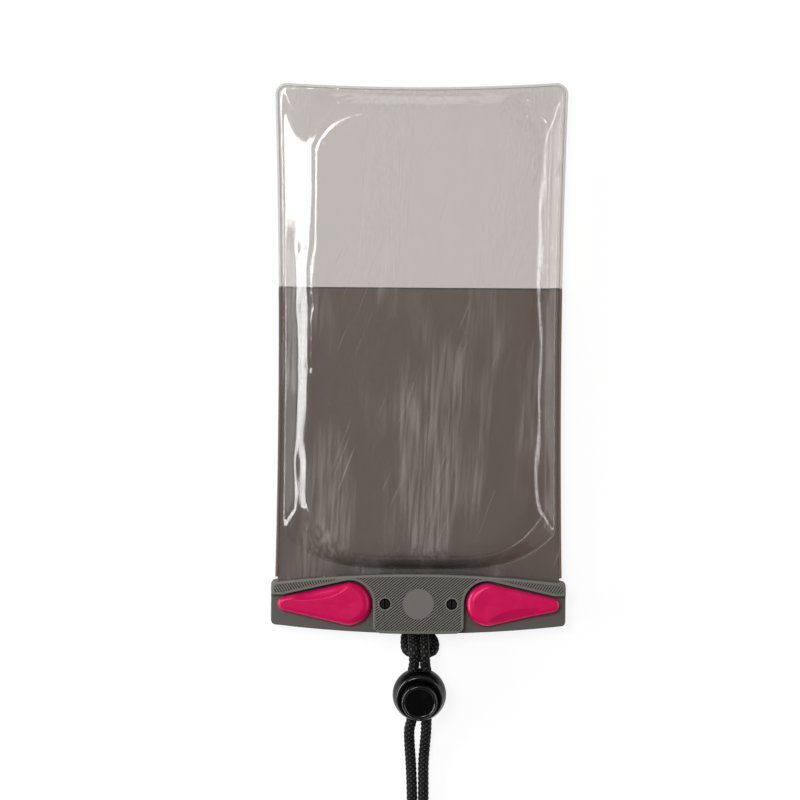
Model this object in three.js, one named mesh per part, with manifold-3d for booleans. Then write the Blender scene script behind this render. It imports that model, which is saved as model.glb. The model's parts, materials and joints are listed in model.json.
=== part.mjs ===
// Waterproof phone pouch lying on its back: a puffed film pocket, a two-jaw clip that
// pinches its mouth shut, two bayonet levers, and a neck cord with a push-button lock.
// Millimetres. +Y runs to the closed end of the pouch, +Z up from the surface it lies on.
// The origin is the centre of the clip's flat back.
import * as THREE from 'three';
import { mergeVertices } from 'three/addons/utils/BufferGeometryUtils.js';
import Module from 'manifold-3d';

const wasm = await Module();
wasm.setup();

// Fits
const GAP = 0.3; // between pieces that touch
const RUN = 0.3; // round a piece that turns or slides

// Clip outline, shared by both jaws
const CLIP_LENGTH = 106.4;
const CLIP_MID_HEIGHT = 22.2;
const CLIP_END_HEIGHT = 16.4;
const CLIP_CORNER = 2;

// Stack of the clip, from the surface up
const REAR_JAW_THICKNESS = 4.5;
const FILM = 0.4;
const DECK_THICKNESS = 3;
const PLATE_THICKNESS = 3.5;
const EDGE_ROUND = 0.5;
const LIP_WIDTH = 3.6; // the strip that pinches the films, along the upper edge
const LIP_RELIEF = 0.5; // how far the front jaw stands back from the films below the lip
const FRONT_INSET = 0.3;

// Levers: a round head, a ball tip, flat sides between them
const LEVER_END_MARGIN = 2.65; // from a lever's tip to the end of the clip
const LEVER_SPAN = 23.3; // pivot to the centre of the tip
const LEVER_HEAD_RADIUS = 7.75;
const LEVER_TIP_RADIUS = 2.6;
const LEVER_THICKNESS = 4.2;
const LEVER_EDGE = 1.1;
const LEVER_DISH = 0.9;
const POCKET_CLEARANCE = 0.7; // round a lever, in the raised plate

// Bayonet shafts of the levers
const SHAFT_RADIUS = 2.2;
const SHAFT_IN_LEVER = 2.3;
const CROSSBAR_LENGTH = 9;
const CROSSBAR_THICKNESS = 1.5;
const CROSSBAR_LIFT_OFF = 0.6; // of the bar above the surface the clip lies on
const JAW_LIFT = 1; // slack of the front jaw with the levers turned

// Split guide pegs
const PEG_INSET = 4.2; // from a side of the plate to the middle of its peg
const PEG_RADIUS = 1.7;
const PEG_FLANGE_RADIUS = 2.8;
const PEG_FLANGE_THICKNESS = 1;
const PEG_SPLIT = 0.5;
const PEG_SPLIT_DEPTH = 3;
const PEG_SINK = 0.2; // of the peg's top below the plate's face

// Grip grooves and the round badge field on the plate
const GROOVE_WIDTH = 0.38;
const GROOVE_DEPTH = 0.5;
const PLATE_GROOVE_PITCH = 0.77;
const PLATE_GROOVE_ANGLE = 39;
const STRIP_GROOVE_PITCH = 0.85;
const STRIP_GROOVE_ANGLE = 55;
const GROOVE_MARGIN = 0.8;
const STRIP_START = 0.6; // of the head's radius, out from the pivot, where a strip's grooves start
const BADGE_RADIUS = 5.5;
const PLATE_CORNER = 2.2;

// Lanyard bar at the lower middle of the rear jaw
const CORD_DIAMETER = 3.7;
const BAR_LENGTH = 15;
const BAR_WIDTH = 3;
const BAR_THICKNESS = 2.6;
const BAR_POST = 2.5;

// Pouch, measured to the outside of its rim bead
const POUCH_TOP = 187.2;
const POUCH_TOP_SAG = 1.8;
const POUCH_MOUTH_INSET = 1.3; // of the pouch from each end of the clip
const POUCH_WAIST_PULL = 0.9; // how far each side draws in from the mouth to the waist
const POUCH_TOP_FLARE = 2.05; // how far each side spreads from the waist to the top
const POUCH_WAIST_Y = 78;
const POUCH_CORNER = 4.5;
const BEAD_DIAMETER = 1.2;
const RIM_WIDTH = 1.6; // flat welded rim inside the bead
const MOUTH_END = -6; // lower edge of the films, inside the clip
const MOUTH_CORNER = 0.8;
const MOUTH_FLAT = 1.4; // films stay flat this far past the clip
const TINT_TOP = 114; // upper edge of the smoky back panel

// Puffed pocket
const POCKET_WIDTH = 78;
const POCKET_BOTTOM = 20.5;
const POCKET_TOP = 177;
const POCKET_CORNER = 10;
const POCKET_DEPTH = 12.8; // inside, front film to back film
const SHOULDER_STEPS = 5;
const SHOULDER_CURVE = 1.7; // how steeply the films leave the rim before they level out

// Cord lock
const LOCK_X = 0.6;
const LOCK_Y = -32.6;
const LOCK_TILT = 15; // degrees, button leaning towards -Y
const LOCK_STRAND = 2.6; // half the distance between the strands where they pass through the lock
const BALL_RADIUS = 9.65;
const BALL_CUT = 5.2; // height of the flat rim above the ball's centre
const BUTTON_RADIUS = 6.4;
const BUTTON_TOP = 9.2;
const BUTTON_TRAVEL = 2.5;
const BUTTON_DOME = 0.35;
const STEM_RADIUS = 5.7;
const STEM_WEB = 1.4;
const CORD_HOLE_CLEARANCE = 0.4;
const SPRING_RADIUS = 3.1;
const SPRING_WIRE = 0.5;
const SPRING_TURNS = 3;
const SPRING_POCKET_FLOOR = -8.4;

// Coil of spare cord
const COIL_X = 25.3;
const COIL_Y = -103;
const COIL_INNER_TURN = 15;
const COIL_TURNS = 4;
const TURN_PITCH = 4;

// Heights that follow from the stack
const BACK_FILM_Z = REAR_JAW_THICKNESS + GAP;
const FRONT_FILM_Z = BACK_FILM_Z + FILM + GAP;
const FRONT_JAW_Z = FRONT_FILM_Z + FILM + GAP;
const DECK_TOP = FRONT_JAW_Z + DECK_THICKNESS;
const PLATE_TOP = DECK_TOP + PLATE_THICKNESS;
const LEVER_Z = DECK_TOP + RUN;
const PIVOT_X = CLIP_LENGTH / 2 - LEVER_END_MARGIN - LEVER_TIP_RADIUS - LEVER_SPAN;
const PLATE_HALF_WIDTH = PIVOT_X - LEVER_HEAD_RADIUS - POCKET_CLEARANCE;
const PEG_X = PLATE_HALF_WIDTH - PEG_INSET;
const POUCH_WAIST_HALF = CLIP_LENGTH / 2 - POUCH_MOUTH_INSET - POUCH_WAIST_PULL;
const CORD_RADIUS = CORD_DIAMETER / 2;
const FLOOR_CORD_Z = CORD_RADIUS + 0.05;

const BIG = 400; // reaches past the whole pouch in a cut
const degrees = Math.PI / 180;

// Solids

function solid(geometry) {
  const bare = geometry.index ? geometry.toNonIndexed() : geometry.clone();
  bare.deleteAttribute('normal');
  bare.deleteAttribute('uv');
  const merged = mergeVertices(bare, 1e-4);
  return new wasm.Manifold(new wasm.Mesh({
    numProp: 3,
    vertProperties: new Float32Array(merged.attributes.position.array),
    triVerts: new Uint32Array(merged.index.array),
  }));
}

function geometryOf(body) {
  const mesh = body.getMesh();
  const geometry = new THREE.BufferGeometry();
  geometry.setAttribute('position', new THREE.BufferAttribute(new Float32Array(mesh.vertProperties), 3));
  geometry.setIndex(new THREE.BufferAttribute(new Uint32Array(mesh.triVerts), 1));
  geometry.computeVertexNormals();
  return geometry;
}

function block(x0, x1, y0, y1, z0, z1) {
  const geometry = new THREE.BoxGeometry(x1 - x0, y1 - y0, z1 - z0);
  geometry.translate((x0 + x1) / 2, (y0 + y1) / 2, (z0 + z1) / 2);
  return solid(geometry);
}

function rod(radius, z0, z1, x = 0, y = 0, sides = 24) {
  const geometry = new THREE.CylinderGeometry(radius, radius, z1 - z0, sides);
  geometry.rotateX(Math.PI / 2);
  geometry.translate(x, y, (z0 + z1) / 2);
  return solid(geometry);
}

function prism(shape, z0, z1, curveSegments = 12) {
  const geometry = new THREE.ExtrudeGeometry(shape, { depth: z1 - z0, bevelEnabled: false, curveSegments });
  geometry.translate(0, 0, z0);
  return solid(geometry);
}

// A prism whose upper and lower edges are rounded, inside the outline given
function roundedPrism(shape, z0, z1, edge, steps = 2, curveSegments = 12) {
  const geometry = new THREE.ExtrudeGeometry(shape, {
    depth: z1 - z0 - 2 * edge,
    bevelThickness: edge,
    bevelSize: edge,
    bevelOffset: -edge,
    bevelSegments: steps,
    curveSegments,
  });
  geometry.translate(0, 0, z0 + edge);
  return solid(geometry);
}

function lathe(profile, sides) {
  const geometry = new THREE.LatheGeometry(profile.map(([r, z]) => new THREE.Vector2(r, z)), sides);
  geometry.rotateX(Math.PI / 2);
  return solid(geometry);
}

function tube(points, radius, steps, sides) {
  const section = new THREE.Shape();
  for (let i = 0; i < sides; i += 1) {
    const angle = 2 * Math.PI * i / sides;
    const draw = i === 0 ? 'moveTo' : 'lineTo';
    section[draw](radius * Math.cos(angle), radius * Math.sin(angle));
  }
  section.closePath();
  const route = new THREE.CatmullRomCurve3(points.map((p) => new THREE.Vector3(...p)));
  return new THREE.ExtrudeGeometry(section, { steps, bevelEnabled: false, extrudePath: route });
}

// A closed body through loops of equal count, each anticlockwise seen from +Z,
// capped at the first loop (facing down) and at the last (facing up)
function loopsGeometry(loops) {
  const count = loops[0].length;
  const positions = loops.flatMap((loop) => loop.flatMap((p) => p));
  const index = [];
  for (let k = 0; k + 1 < loops.length; k += 1) {
    for (let j = 0; j < count; j += 1) {
      const a = k * count + j;
      const b = k * count + (j + 1) % count;
      index.push(a, b, b + count, a, b + count, a + count);
    }
  }
  const cap = (loop) => THREE.ShapeUtils.triangulateShape(loop.map(([x, y]) => new THREE.Vector2(x, y)), []);
  const top = (loops.length - 1) * count;
  for (const [a, b, c] of cap(loops[0])) index.push(a, c, b);
  for (const [a, b, c] of cap(loops[loops.length - 1])) index.push(top + a, top + b, top + c);
  const geometry = new THREE.BufferGeometry();
  geometry.setAttribute('position', new THREE.BufferAttribute(new Float32Array(positions), 3));
  geometry.setIndex(index);
  return geometry;
}

// Outlines

function lensShape(inset = 0) {
  const half = CLIP_LENGTH / 2 - inset;
  const end = CLIP_END_HEIGHT / 2 - inset;
  const control = CLIP_MID_HEIGHT - 2 * inset - end;
  const shape = new THREE.Shape();
  shape.moveTo(-half + CLIP_CORNER, -end);
  shape.quadraticCurveTo(0, -control, half - CLIP_CORNER, -end);
  shape.quadraticCurveTo(half, -end, half, -end + CLIP_CORNER);
  shape.lineTo(half, end - CLIP_CORNER);
  shape.quadraticCurveTo(half, end, half - CLIP_CORNER, end);
  shape.quadraticCurveTo(0, control, -half + CLIP_CORNER, end);
  shape.quadraticCurveTo(-half, end, -half, end - CLIP_CORNER);
  shape.lineTo(-half, -end + CLIP_CORNER);
  shape.quadraticCurveTo(-half, -end, -half + CLIP_CORNER, -end);
  return shape;
}

function clipHalfHeight(x) {
  const share = x / (CLIP_LENGTH / 2 - CLIP_CORNER);
  return (CLIP_MID_HEIGHT - (CLIP_MID_HEIGHT - CLIP_END_HEIGHT) * share * share) / 2;
}

// Half the angle, seen from a lever's pivot, at which its flat sides leave the head
const SIDE_ANGLE = Math.acos((LEVER_HEAD_RADIUS - LEVER_TIP_RADIUS) / LEVER_SPAN);

function stadiumShape(halfLength, radius) {
  const shape = new THREE.Shape();
  shape.absarc(halfLength - radius, 0, radius, -Math.PI / 2, Math.PI / 2, false);
  shape.absarc(-halfLength + radius, 0, radius, Math.PI / 2, 1.5 * Math.PI, false);
  return shape;
}

function roundedRectangle(halfX, y0, y1, radius) {
  const shape = new THREE.Shape();
  shape.absarc(halfX - radius, y0 + radius, radius, -Math.PI / 2, 0, false);
  shape.absarc(halfX - radius, y1 - radius, radius, 0, Math.PI / 2, false);
  shape.absarc(-halfX + radius, y1 - radius, radius, Math.PI / 2, Math.PI, false);
  shape.absarc(-halfX + radius, y0 + radius, radius, Math.PI, 1.5 * Math.PI, false);
  return shape;
}

// The part of the raised plate within a margin of the right lever, as it lies shut
function leverPocketShape(margin) {
  const head = LEVER_HEAD_RADIUS + margin;
  const tip = LEVER_TIP_RADIUS + margin;
  const below = -CLIP_MID_HEIGHT;
  const shape = new THREE.Shape();
  shape.moveTo(PIVOT_X - head, below);
  shape.lineTo(PIVOT_X - head, 0);
  shape.absarc(PIVOT_X, 0, head, Math.PI, SIDE_ANGLE, true);
  shape.absarc(PIVOT_X + LEVER_SPAN, 0, tip, SIDE_ANGLE, Math.PI / 2.4, true);
  shape.lineTo(CLIP_LENGTH, tip);
  shape.lineTo(CLIP_LENGTH, below);
  return shape;
}

// Both sides of the clip are alike: the left one is the right one turned over X
function bothSides(make) {
  const right = make();
  return right.add(right.mirror([1, 0, 0]));
}

// Rear jaw

function shaftSlot(z0, z1) {
  const shape = stadiumShape(CROSSBAR_LENGTH / 2 + RUN, SHAFT_RADIUS + RUN);
  return prism(shape, z0, z1, 6).translate([PIVOT_X, 0, 0]);
}

const BAR_TOP = CORD_DIAMETER + GAP + BAR_THICKNESS;
const BAR_FRONT = -CLIP_MID_HEIGHT / 2 + GAP;
const SLOT_FRONT = BAR_FRONT + BAR_WIDTH;
const SLOT_BACK = SLOT_FRONT + CORD_DIAMETER + 2 * GAP;
const BRIDGE_HALF = BAR_LENGTH / 2 + BAR_POST;
const BRIDGE_BACK = SLOT_BACK + BAR_POST / 2;

function makeRearJaw() {
  const bridge = block(-BRIDGE_HALF, BRIDGE_HALF, BAR_FRONT, BRIDGE_BACK, REAR_JAW_THICKNESS / 2, BAR_TOP);
  const barHalf = BAR_LENGTH / 2;
  const recessTop = CROSSBAR_LIFT_OFF + CROSSBAR_THICKNESS + JAW_LIFT + RUN;
  const pegHole = () => rod(PEG_RADIUS + GAP, -1, BIG, PEG_X, 0).add(
    rod(PEG_FLANGE_RADIUS + GAP, -1, GAP + PEG_FLANGE_THICKNESS + GAP, PEG_X, 0));
  return roundedPrism(lensShape(), 0, REAR_JAW_THICKNESS, EDGE_ROUND)
    .add(bridge)
    .subtract(block(-barHalf, barHalf, SLOT_FRONT, SLOT_BACK, -1, BIG))
    .subtract(block(-barHalf, barHalf, -BIG, SLOT_BACK, -1, CORD_DIAMETER + GAP))
    .subtract(bothSides(() => shaftSlot(-1, BIG)))
    .subtract(bothSides(() => rod(CROSSBAR_LENGTH / 2 + RUN, -1, recessTop, PIVOT_X, 0, 32)))
    .subtract(bothSides(pegHole));
}

// Front jaw: a full-length deck, and a raised plate cut back round the levers

function grooveField(field, pitch, angle, reach, centre) {
  let grooves = null;
  const rows = Math.floor(reach / pitch);
  const floor = PLATE_TOP - GROOVE_DEPTH;
  for (let i = -rows; i <= rows; i += 1) {
    const edge = i * pitch - GROOVE_WIDTH / 2;
    const groove = block(-reach, reach, edge, edge + GROOVE_WIDTH, floor, BIG);
    grooves = grooves ? grooves.add(groove) : groove;
  }
  return grooves.rotate([0, 0, angle]).translate([centre, 0, 0]).intersect(field);
}

// The face of the plate and strips, less a margin along every edge
function faceField() {
  const pocket = () => prism(leverPocketShape(POCKET_CLEARANCE + GROOVE_MARGIN), -1, BIG);
  return prism(lensShape(EDGE_ROUND + GROOVE_MARGIN), 0, BIG).subtract(bothSides(pocket));
}

// The grooved face between the levers, bare round the pegs and in a round field in the middle
function plateField() {
  return faceField()
    .intersect(block(-PIVOT_X, PIVOT_X, -BIG, BIG, 0, BIG))
    .subtract(rod(BADGE_RADIUS, -1, BIG, 0, 0, 40))
    .subtract(bothSides(() => rod(PEG_RADIUS + GROOVE_MARGIN, -1, BIG, PEG_X, 0, 20)));
}

// The grooved strip above the right lever
function stripField() {
  const start = PIVOT_X + LEVER_HEAD_RADIUS * STRIP_START;
  return faceField().intersect(block(start, BIG, 0, BIG, 0, BIG));
}

function makeFrontJaw() {
  const shape = lensShape(FRONT_INSET);
  const deck = roundedPrism(shape, FRONT_JAW_Z, DECK_TOP, EDGE_ROUND);
  const foot = prism(roundedRectangle(PLATE_HALF_WIDTH, -CLIP_MID_HEIGHT / 2, BIG, PLATE_CORNER), 0, BIG, 4);
  const besideFoot = block(-BIG, BIG, -BIG, 0, DECK_TOP, BIG).subtract(foot);
  const plate = roundedPrism(shape, DECK_TOP - 2 * EDGE_ROUND, PLATE_TOP, EDGE_ROUND)
    .subtract(bothSides(() => prism(leverPocketShape(POCKET_CLEARANCE), DECK_TOP, BIG)))
    .subtract(besideFoot);
  const lipEdge = clipHalfHeight(CLIP_LENGTH / 2) - LIP_WIDTH;
  const relief = block(-BIG, BIG, -BIG, lipEdge, 0, FRONT_JAW_Z + LIP_RELIEF);
  const barRoom = block(
    -BRIDGE_HALF - GAP, BRIDGE_HALF + GAP, -BIG, BRIDGE_BACK + GAP,
    0, BAR_TOP + GAP + CORD_DIAMETER + GAP);
  const plateReach = Math.hypot(PIVOT_X, CLIP_MID_HEIGHT / 2);
  const stripReach = CLIP_LENGTH / 4 - PIVOT_X / 2 + CLIP_END_HEIGHT / 2;
  return deck.add(plate)
    .subtract(relief)
    .subtract(barRoom)
    .subtract(bothSides(() => rod(SHAFT_RADIUS + RUN, 0, BIG, PIVOT_X, 0)))
    .subtract(bothSides(() => rod(PEG_RADIUS + RUN, 0, BIG, PEG_X, 0)))
    .subtract(grooveField(plateField(), PLATE_GROOVE_PITCH, PLATE_GROOVE_ANGLE, plateReach, 0))
    .subtract(bothSides(() => grooveField(
      stripField(), STRIP_GROOVE_PITCH, STRIP_GROOVE_ANGLE, stripReach, PIVOT_X + stripReach)));
}

// Levers, modelled with the pivot at the origin and the tip towards +X

const LEVER_ARC_STEPS = 14;

// Points of the outline pulled towards the line between pivot and tip by a share
function leverLoop(share, height) {
  const loop = [];
  for (let i = 0; i <= 2 * LEVER_ARC_STEPS; i += 1) {
    const angle = SIDE_ANGLE + (2 * Math.PI - 2 * SIDE_ANGLE) * i / (2 * LEVER_ARC_STEPS);
    const radius = LEVER_HEAD_RADIUS * (1 - share);
    loop.push([radius * Math.cos(angle), radius * Math.sin(angle), height(1)]);
  }
  const sides = 5;
  const steps = LEVER_ARC_STEPS / 2;
  const flank = (side) => {
    const points = [];
    for (let i = 1; i < sides; i += 1) {
      const along = i / sides;
      const radius = (LEVER_HEAD_RADIUS * (1 - along) + LEVER_TIP_RADIUS * along) * (1 - share);
      const x = LEVER_SPAN * along + radius * Math.cos(SIDE_ANGLE);
      points.push([x, side * radius * Math.sin(SIDE_ANGLE), height(1 - along)]);
    }
    return side < 0 ? points : points.reverse();
  };
  loop.push(...flank(-1));
  for (let i = 0; i <= steps; i += 1) {
    const angle = -SIDE_ANGLE + 2 * SIDE_ANGLE * i / steps;
    const radius = LEVER_TIP_RADIUS * (1 - share);
    loop.push([LEVER_SPAN + radius * Math.cos(angle), radius * Math.sin(angle), height(0)]);
  }
  loop.push(...flank(1));
  return loop;
}

// Height of the upper face: a rounded edge, a dish in the head, a dome along the arm
function leverTop(share, headness) {
  const edge = Math.min(1, share / 0.3);
  const rounded = LEVER_THICKNESS - LEVER_EDGE * (1 - Math.sqrt(1 - (1 - edge) ** 2));
  const dish = LEVER_DISH * Math.max(0, (share - 0.2) / 0.8) ** 0.7 * headness ** 2;
  return rounded - dish;
}

function makeLever() {
  const loops = [leverLoop(0.06, () => 0), leverLoop(0, () => 0.4)];
  for (const share of [0, 0.05, 0.13, 0.3, 0.5, 0.7, 0.88]) {
    loops.push(leverLoop(share, (headness) => leverTop(share, headness)));
  }
  const bore = rod(SHAFT_RADIUS + GAP, -1, SHAFT_IN_LEVER + GAP);
  return solid(loopsGeometry(loops)).subtract(bore).translate([0, 0, LEVER_Z]);
}

function makeShaft() {
  const top = LEVER_Z + SHAFT_IN_LEVER;
  const barTop = CROSSBAR_LIFT_OFF + CROSSBAR_THICKNESS;
  const bar = prism(stadiumShape(CROSSBAR_LENGTH / 2, SHAFT_RADIUS), CROSSBAR_LIFT_OFF, barTop, 6);
  return rod(SHAFT_RADIUS, CROSSBAR_LIFT_OFF, top).add(bar.rotate([0, 0, 90]));
}

function makePeg() {
  const top = PLATE_TOP - PEG_SINK;
  const profile = [
    [0, GAP], [PEG_FLANGE_RADIUS, GAP], [PEG_FLANGE_RADIUS, GAP + PEG_FLANGE_THICKNESS],
    [PEG_RADIUS, GAP + PEG_FLANGE_THICKNESS], [PEG_RADIUS, top - PEG_SINK], [PEG_RADIUS - PEG_SINK, top],
    [0, top],
  ];
  const split = block(-PEG_SPLIT / 2, PEG_SPLIT / 2, -BIG, BIG, top - PEG_SPLIT_DEPTH, BIG);
  return lathe(profile, 20).subtract(split);
}

// Films

const RIM = BEAD_DIAMETER + GAP;
const RIM_CORNER = 2.4; // inside corner of the welded rim
const RIM_FOOT_CORNER = 3; // the same, beside the clip
const CORNER_STEPS = 4;
const SIDE_STEPS = 12; // of a long side of the outline, from corner to corner
const END_STEPS = 8;

function pouchHalfWidth(y) {
  const upper = Math.max(0, (y - POUCH_WAIST_Y) / (POUCH_TOP - POUCH_WAIST_Y));
  const lower = Math.max(0, (POUCH_WAIST_Y - y) / POUCH_WAIST_Y);
  return POUCH_WAIST_HALF + POUCH_TOP_FLARE * upper ** 2 + POUCH_WAIST_PULL * Math.min(1, lower) ** 2;
}

// A rounded rectangle with the same count of points whatever its size. Warp is 1 where
// it follows the waist and the hollow top edge of the pouch, and 0 where it stays straight.
function pouchLoop(y0, y1, cornerBottom, cornerTop, halfWidth, warp, z) {
  const corners = [
    [1, y0 + cornerBottom, cornerBottom, -90], [1, y1 - cornerTop, cornerTop, 0],
    [-1, y1 - cornerTop, cornerTop, 90], [-1, y0 + cornerBottom, cornerBottom, 180],
  ];
  const flat = [];
  for (const [side, cy, radius, start] of corners) {
    for (let i = 0; i <= CORNER_STEPS; i += 1) {
      const angle = (start + 90 * i / CORNER_STEPS) * degrees;
      flat.push([side * (halfWidth - radius) + radius * Math.cos(angle), cy + radius * Math.sin(angle)]);
    }
  }
  const loop = [];
  const perCorner = CORNER_STEPS + 1;
  flat.forEach((point, k) => {
    loop.push(point);
    if (k % perCorner !== CORNER_STEPS) return;
    const next = flat[(k + 1) % flat.length];
    const corner = Math.floor(k / perCorner);
    const span = corner % 2 ? END_STEPS : SIDE_STEPS;
    for (let i = 1; i < span; i += 1) {
      loop.push([point[0] + (next[0] - point[0]) * i / span, point[1] + (next[1] - point[1]) * i / span]);
    }
  });
  return loop.map(([x, y]) => {
    const wide = (pouchHalfWidth(y) - POUCH_WAIST_HALF) * warp;
    const hollow = POUCH_TOP_SAG * (1 - Math.min(1, Math.abs(x) / halfWidth) ** 2) * warp;
    const high = Math.max(0, (y - POUCH_WAIST_Y) / (POUCH_TOP - POUCH_WAIST_Y)) ** 4;
    return [x * (1 + wide / halfWidth), y - hollow * high, z];
  });
}

// Loops of one face of a film, from the outline in to the flat of the pocket
function filmLoops(z, rise) {
  const clipTop = CLIP_MID_HEIGHT / 2;
  const half = POUCH_WAIST_HALF - RIM;
  const top = POUCH_TOP - RIM;
  const rimHalf = half - RIM_WIDTH;
  const loops = [
    pouchLoop(MOUTH_END, top, MOUTH_CORNER, POUCH_CORNER - RIM, half, 1, z),
    pouchLoop(clipTop + MOUTH_FLAT, top - RIM_WIDTH, RIM_FOOT_CORNER, RIM_CORNER, rimHalf, 1, z),
  ];
  const lerp = (a, b, t) => a + (b - a) * t;
  for (let i = 1; i <= SHOULDER_STEPS; i += 1) {
    const t = i / SHOULDER_STEPS;
    const height = rise * (1 - (1 - t) ** SHOULDER_CURVE);
    loops.push(pouchLoop(
      lerp(clipTop + MOUTH_FLAT, POCKET_BOTTOM, t), lerp(top - RIM_WIDTH, POCKET_TOP, t),
      lerp(RIM_FOOT_CORNER, POCKET_CORNER, t), lerp(RIM_CORNER, POCKET_CORNER, t),
      lerp(rimHalf, POCKET_WIDTH / 2, t), 1 - t, z + height));
  }
  return loops;
}

function clipHoles() {
  const notchHalf = BRIDGE_HALF + GAP;
  return bothSides(() => shaftSlot(0, BIG).add(rod(PEG_RADIUS + GAP, 0, BIG, PEG_X, 0, 16)))
    .add(block(-notchHalf, notchHalf, -BIG, BRIDGE_BACK + GAP, 0, BIG));
}

function makeFilm(z, rise) {
  const lower = filmLoops(z, rise).reverse();
  const upper = filmLoops(z + FILM, rise);
  return solid(loopsGeometry([...lower, ...upper])).subtract(clipHoles());
}

const BACK_DROP = -BACK_FILM_Z;
const FRONT_RISE = POCKET_DEPTH + FILM - FRONT_FILM_Z;

function makeBead() {
  const radius = BEAD_DIAMETER / 2;
  const z = (BACK_FILM_Z + FRONT_FILM_Z + FILM) / 2;
  const outline = (inset, height) => pouchLoop(
    MOUTH_END, POUCH_TOP - inset, 0.8, POUCH_CORNER - inset, POUCH_WAIST_HALF - inset, 1, z + height);
  const slant = radius * Math.SQRT1_2;
  const side = radius - slant;
  const slab = [
    outline(radius, -radius), outline(side, -slant), outline(0, 0), outline(side, slant),
    outline(radius, radius),
  ];
  const inner = [outline(BEAD_DIAMETER, -BEAD_DIAMETER), outline(BEAD_DIAMETER, BEAD_DIAMETER)];
  const start = clipHalfHeight(POUCH_WAIST_HALF) + GAP;
  return solid(loopsGeometry(slab))
    .subtract(solid(loopsGeometry(inner)))
    .subtract(block(-BIG, BIG, -BIG, start, -1, BIG));
}

// Neck cord: a cow hitch on the lanyard bar, two strands through the lock, a spare coil

const STRAND = (CORD_DIAMETER + 0.2) / 2; // half the distance between the two strands
const OVER_BAR = BAR_TOP + GAP + CORD_RADIUS;
const SLOT_MIDDLE = (SLOT_FRONT + SLOT_BACK) / 2;
const SLOPE = Math.tan(LOCK_TILT * degrees);
const BALL_Z = BALL_RADIUS + 0.02;
const HITCH_END_Y = -20.6;
const strandZ = (y) => BALL_Z + (y - LOCK_Y) * SLOPE;

// One side of the hitch: from the strand, over the bar, down the slot and back under the bar
function barWrap(side) {
  return [
    [HITCH_END_Y, strandZ(HITCH_END_Y), STRAND],
    [-16.5, strandZ(-16.5) - 0.1, STRAND],
    [-12.4, 9.3, STRAND],
    [-9.8, OVER_BAR, STRAND],
    [-8, OVER_BAR, STRAND],
    [SLOT_FRONT + 1.5, OVER_BAR - 0.65, STRAND],
    [SLOT_MIDDLE, BAR_TOP, STRAND + 0.1],
    [SLOT_MIDDLE, 4.6, STRAND + 0.3],
    [SLOT_FRONT + 1.5, 2.6, STRAND + 0.5],
    [-7.9, FLOOR_CORD_Z, STRAND + 1.1],
    [-9.8, FLOOR_CORD_Z, STRAND + 1.7],
    [-11.8, FLOOR_CORD_Z + 0.2, STRAND + 2.3],
  ].map(([y, z, x]) => [side * x, y, z]);
}

function makeHitch() {
  const bight = [
    [-4.4, -14.6, 3.2],
    [-3.6, -17.2, 5.2],
    [0.7, -17.9, 6],
    [5, -17.4, 5.2],
    [5.8, -14.6, 3.2],
  ];
  return tube([...barWrap(-1), ...bight, ...barWrap(1).reverse()], CORD_RADIUS, 54, 8);
}

function makeLeftStrand() {
  const x = LOCK_X - LOCK_STRAND;
  return tube([
    [-STRAND, HITCH_END_Y - GAP, strandZ(HITCH_END_Y - GAP)],
    [-STRAND, -22, strandZ(-22)],
    [x, -26, strandZ(-26)],
    [x, LOCK_Y, BALL_Z],
    [x, -41, strandZ(-41)],
    [x - 0.9, -45.5, 5.9],
    [-2.8, -51, 3.4],
    [-2.3, -58, FLOOR_CORD_Z],
    [-1.9, -66, FLOOR_CORD_Z],
    [-1.7, -74, FLOOR_CORD_Z],
    [-1.7, -81, FLOOR_CORD_Z],
    [-1.7, -87.9, FLOOR_CORD_Z],
  ], CORD_RADIUS, 20, 8);
}

function makeRightStrand() {
  const x = LOCK_X + LOCK_STRAND;
  return tube([
    [STRAND, HITCH_END_Y - GAP, strandZ(HITCH_END_Y - GAP)],
    [STRAND + 0.1, -22, strandZ(-22)],
    [x, -26, strandZ(-26)],
    [x, LOCK_Y, BALL_Z],
    [x, -41, strandZ(-41)],
    [x - 0.1, -46.5, 5.4],
    [2.7, -52, 3],
    [2.3, -58, FLOOR_CORD_Z],
    [2.3, -66, FLOOR_CORD_Z],
    [2.3, -71, FLOOR_CORD_Z],
    [2.2, -76, 2.7],
    [2.2, -82.4, 4.4],
  ], CORD_RADIUS, 20, 8);
}

function makeCoil() {
  const inner = COIL_INNER_TURN - CORD_RADIUS;
  const outer = COIL_INNER_TURN + (COIL_TURNS - 1) * TURN_PITCH + CORD_RADIUS;
  const floor = FLOOR_CORD_Z - CORD_RADIUS;
  const one = floor + CORD_DIAMETER;
  const two = one + CORD_DIAMETER;
  const profile = [[0, floor], [outer, floor], [outer, two], [inner, two], [inner, one], [0, one]];
  return lathe(profile, 44).translate([COIL_X, COIL_Y, 0]);
}

// Cord lock, modelled with the ball's centre at the origin and the button towards +Z

const HOLE_HALF_WIDTH = LOCK_STRAND + CORD_RADIUS + CORD_HOLE_CLEARANCE;
const HOLE_HALF_HEIGHT = CORD_RADIUS + CORD_HOLE_CLEARANCE;
const HEAD_BOTTOM = BALL_CUT - GAP;
const STEM_BOTTOM = -HOLE_HALF_HEIGHT - STEM_WEB;
const BORE_FLOOR = STEM_BOTTOM - BUTTON_TRAVEL - RUN;

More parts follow.
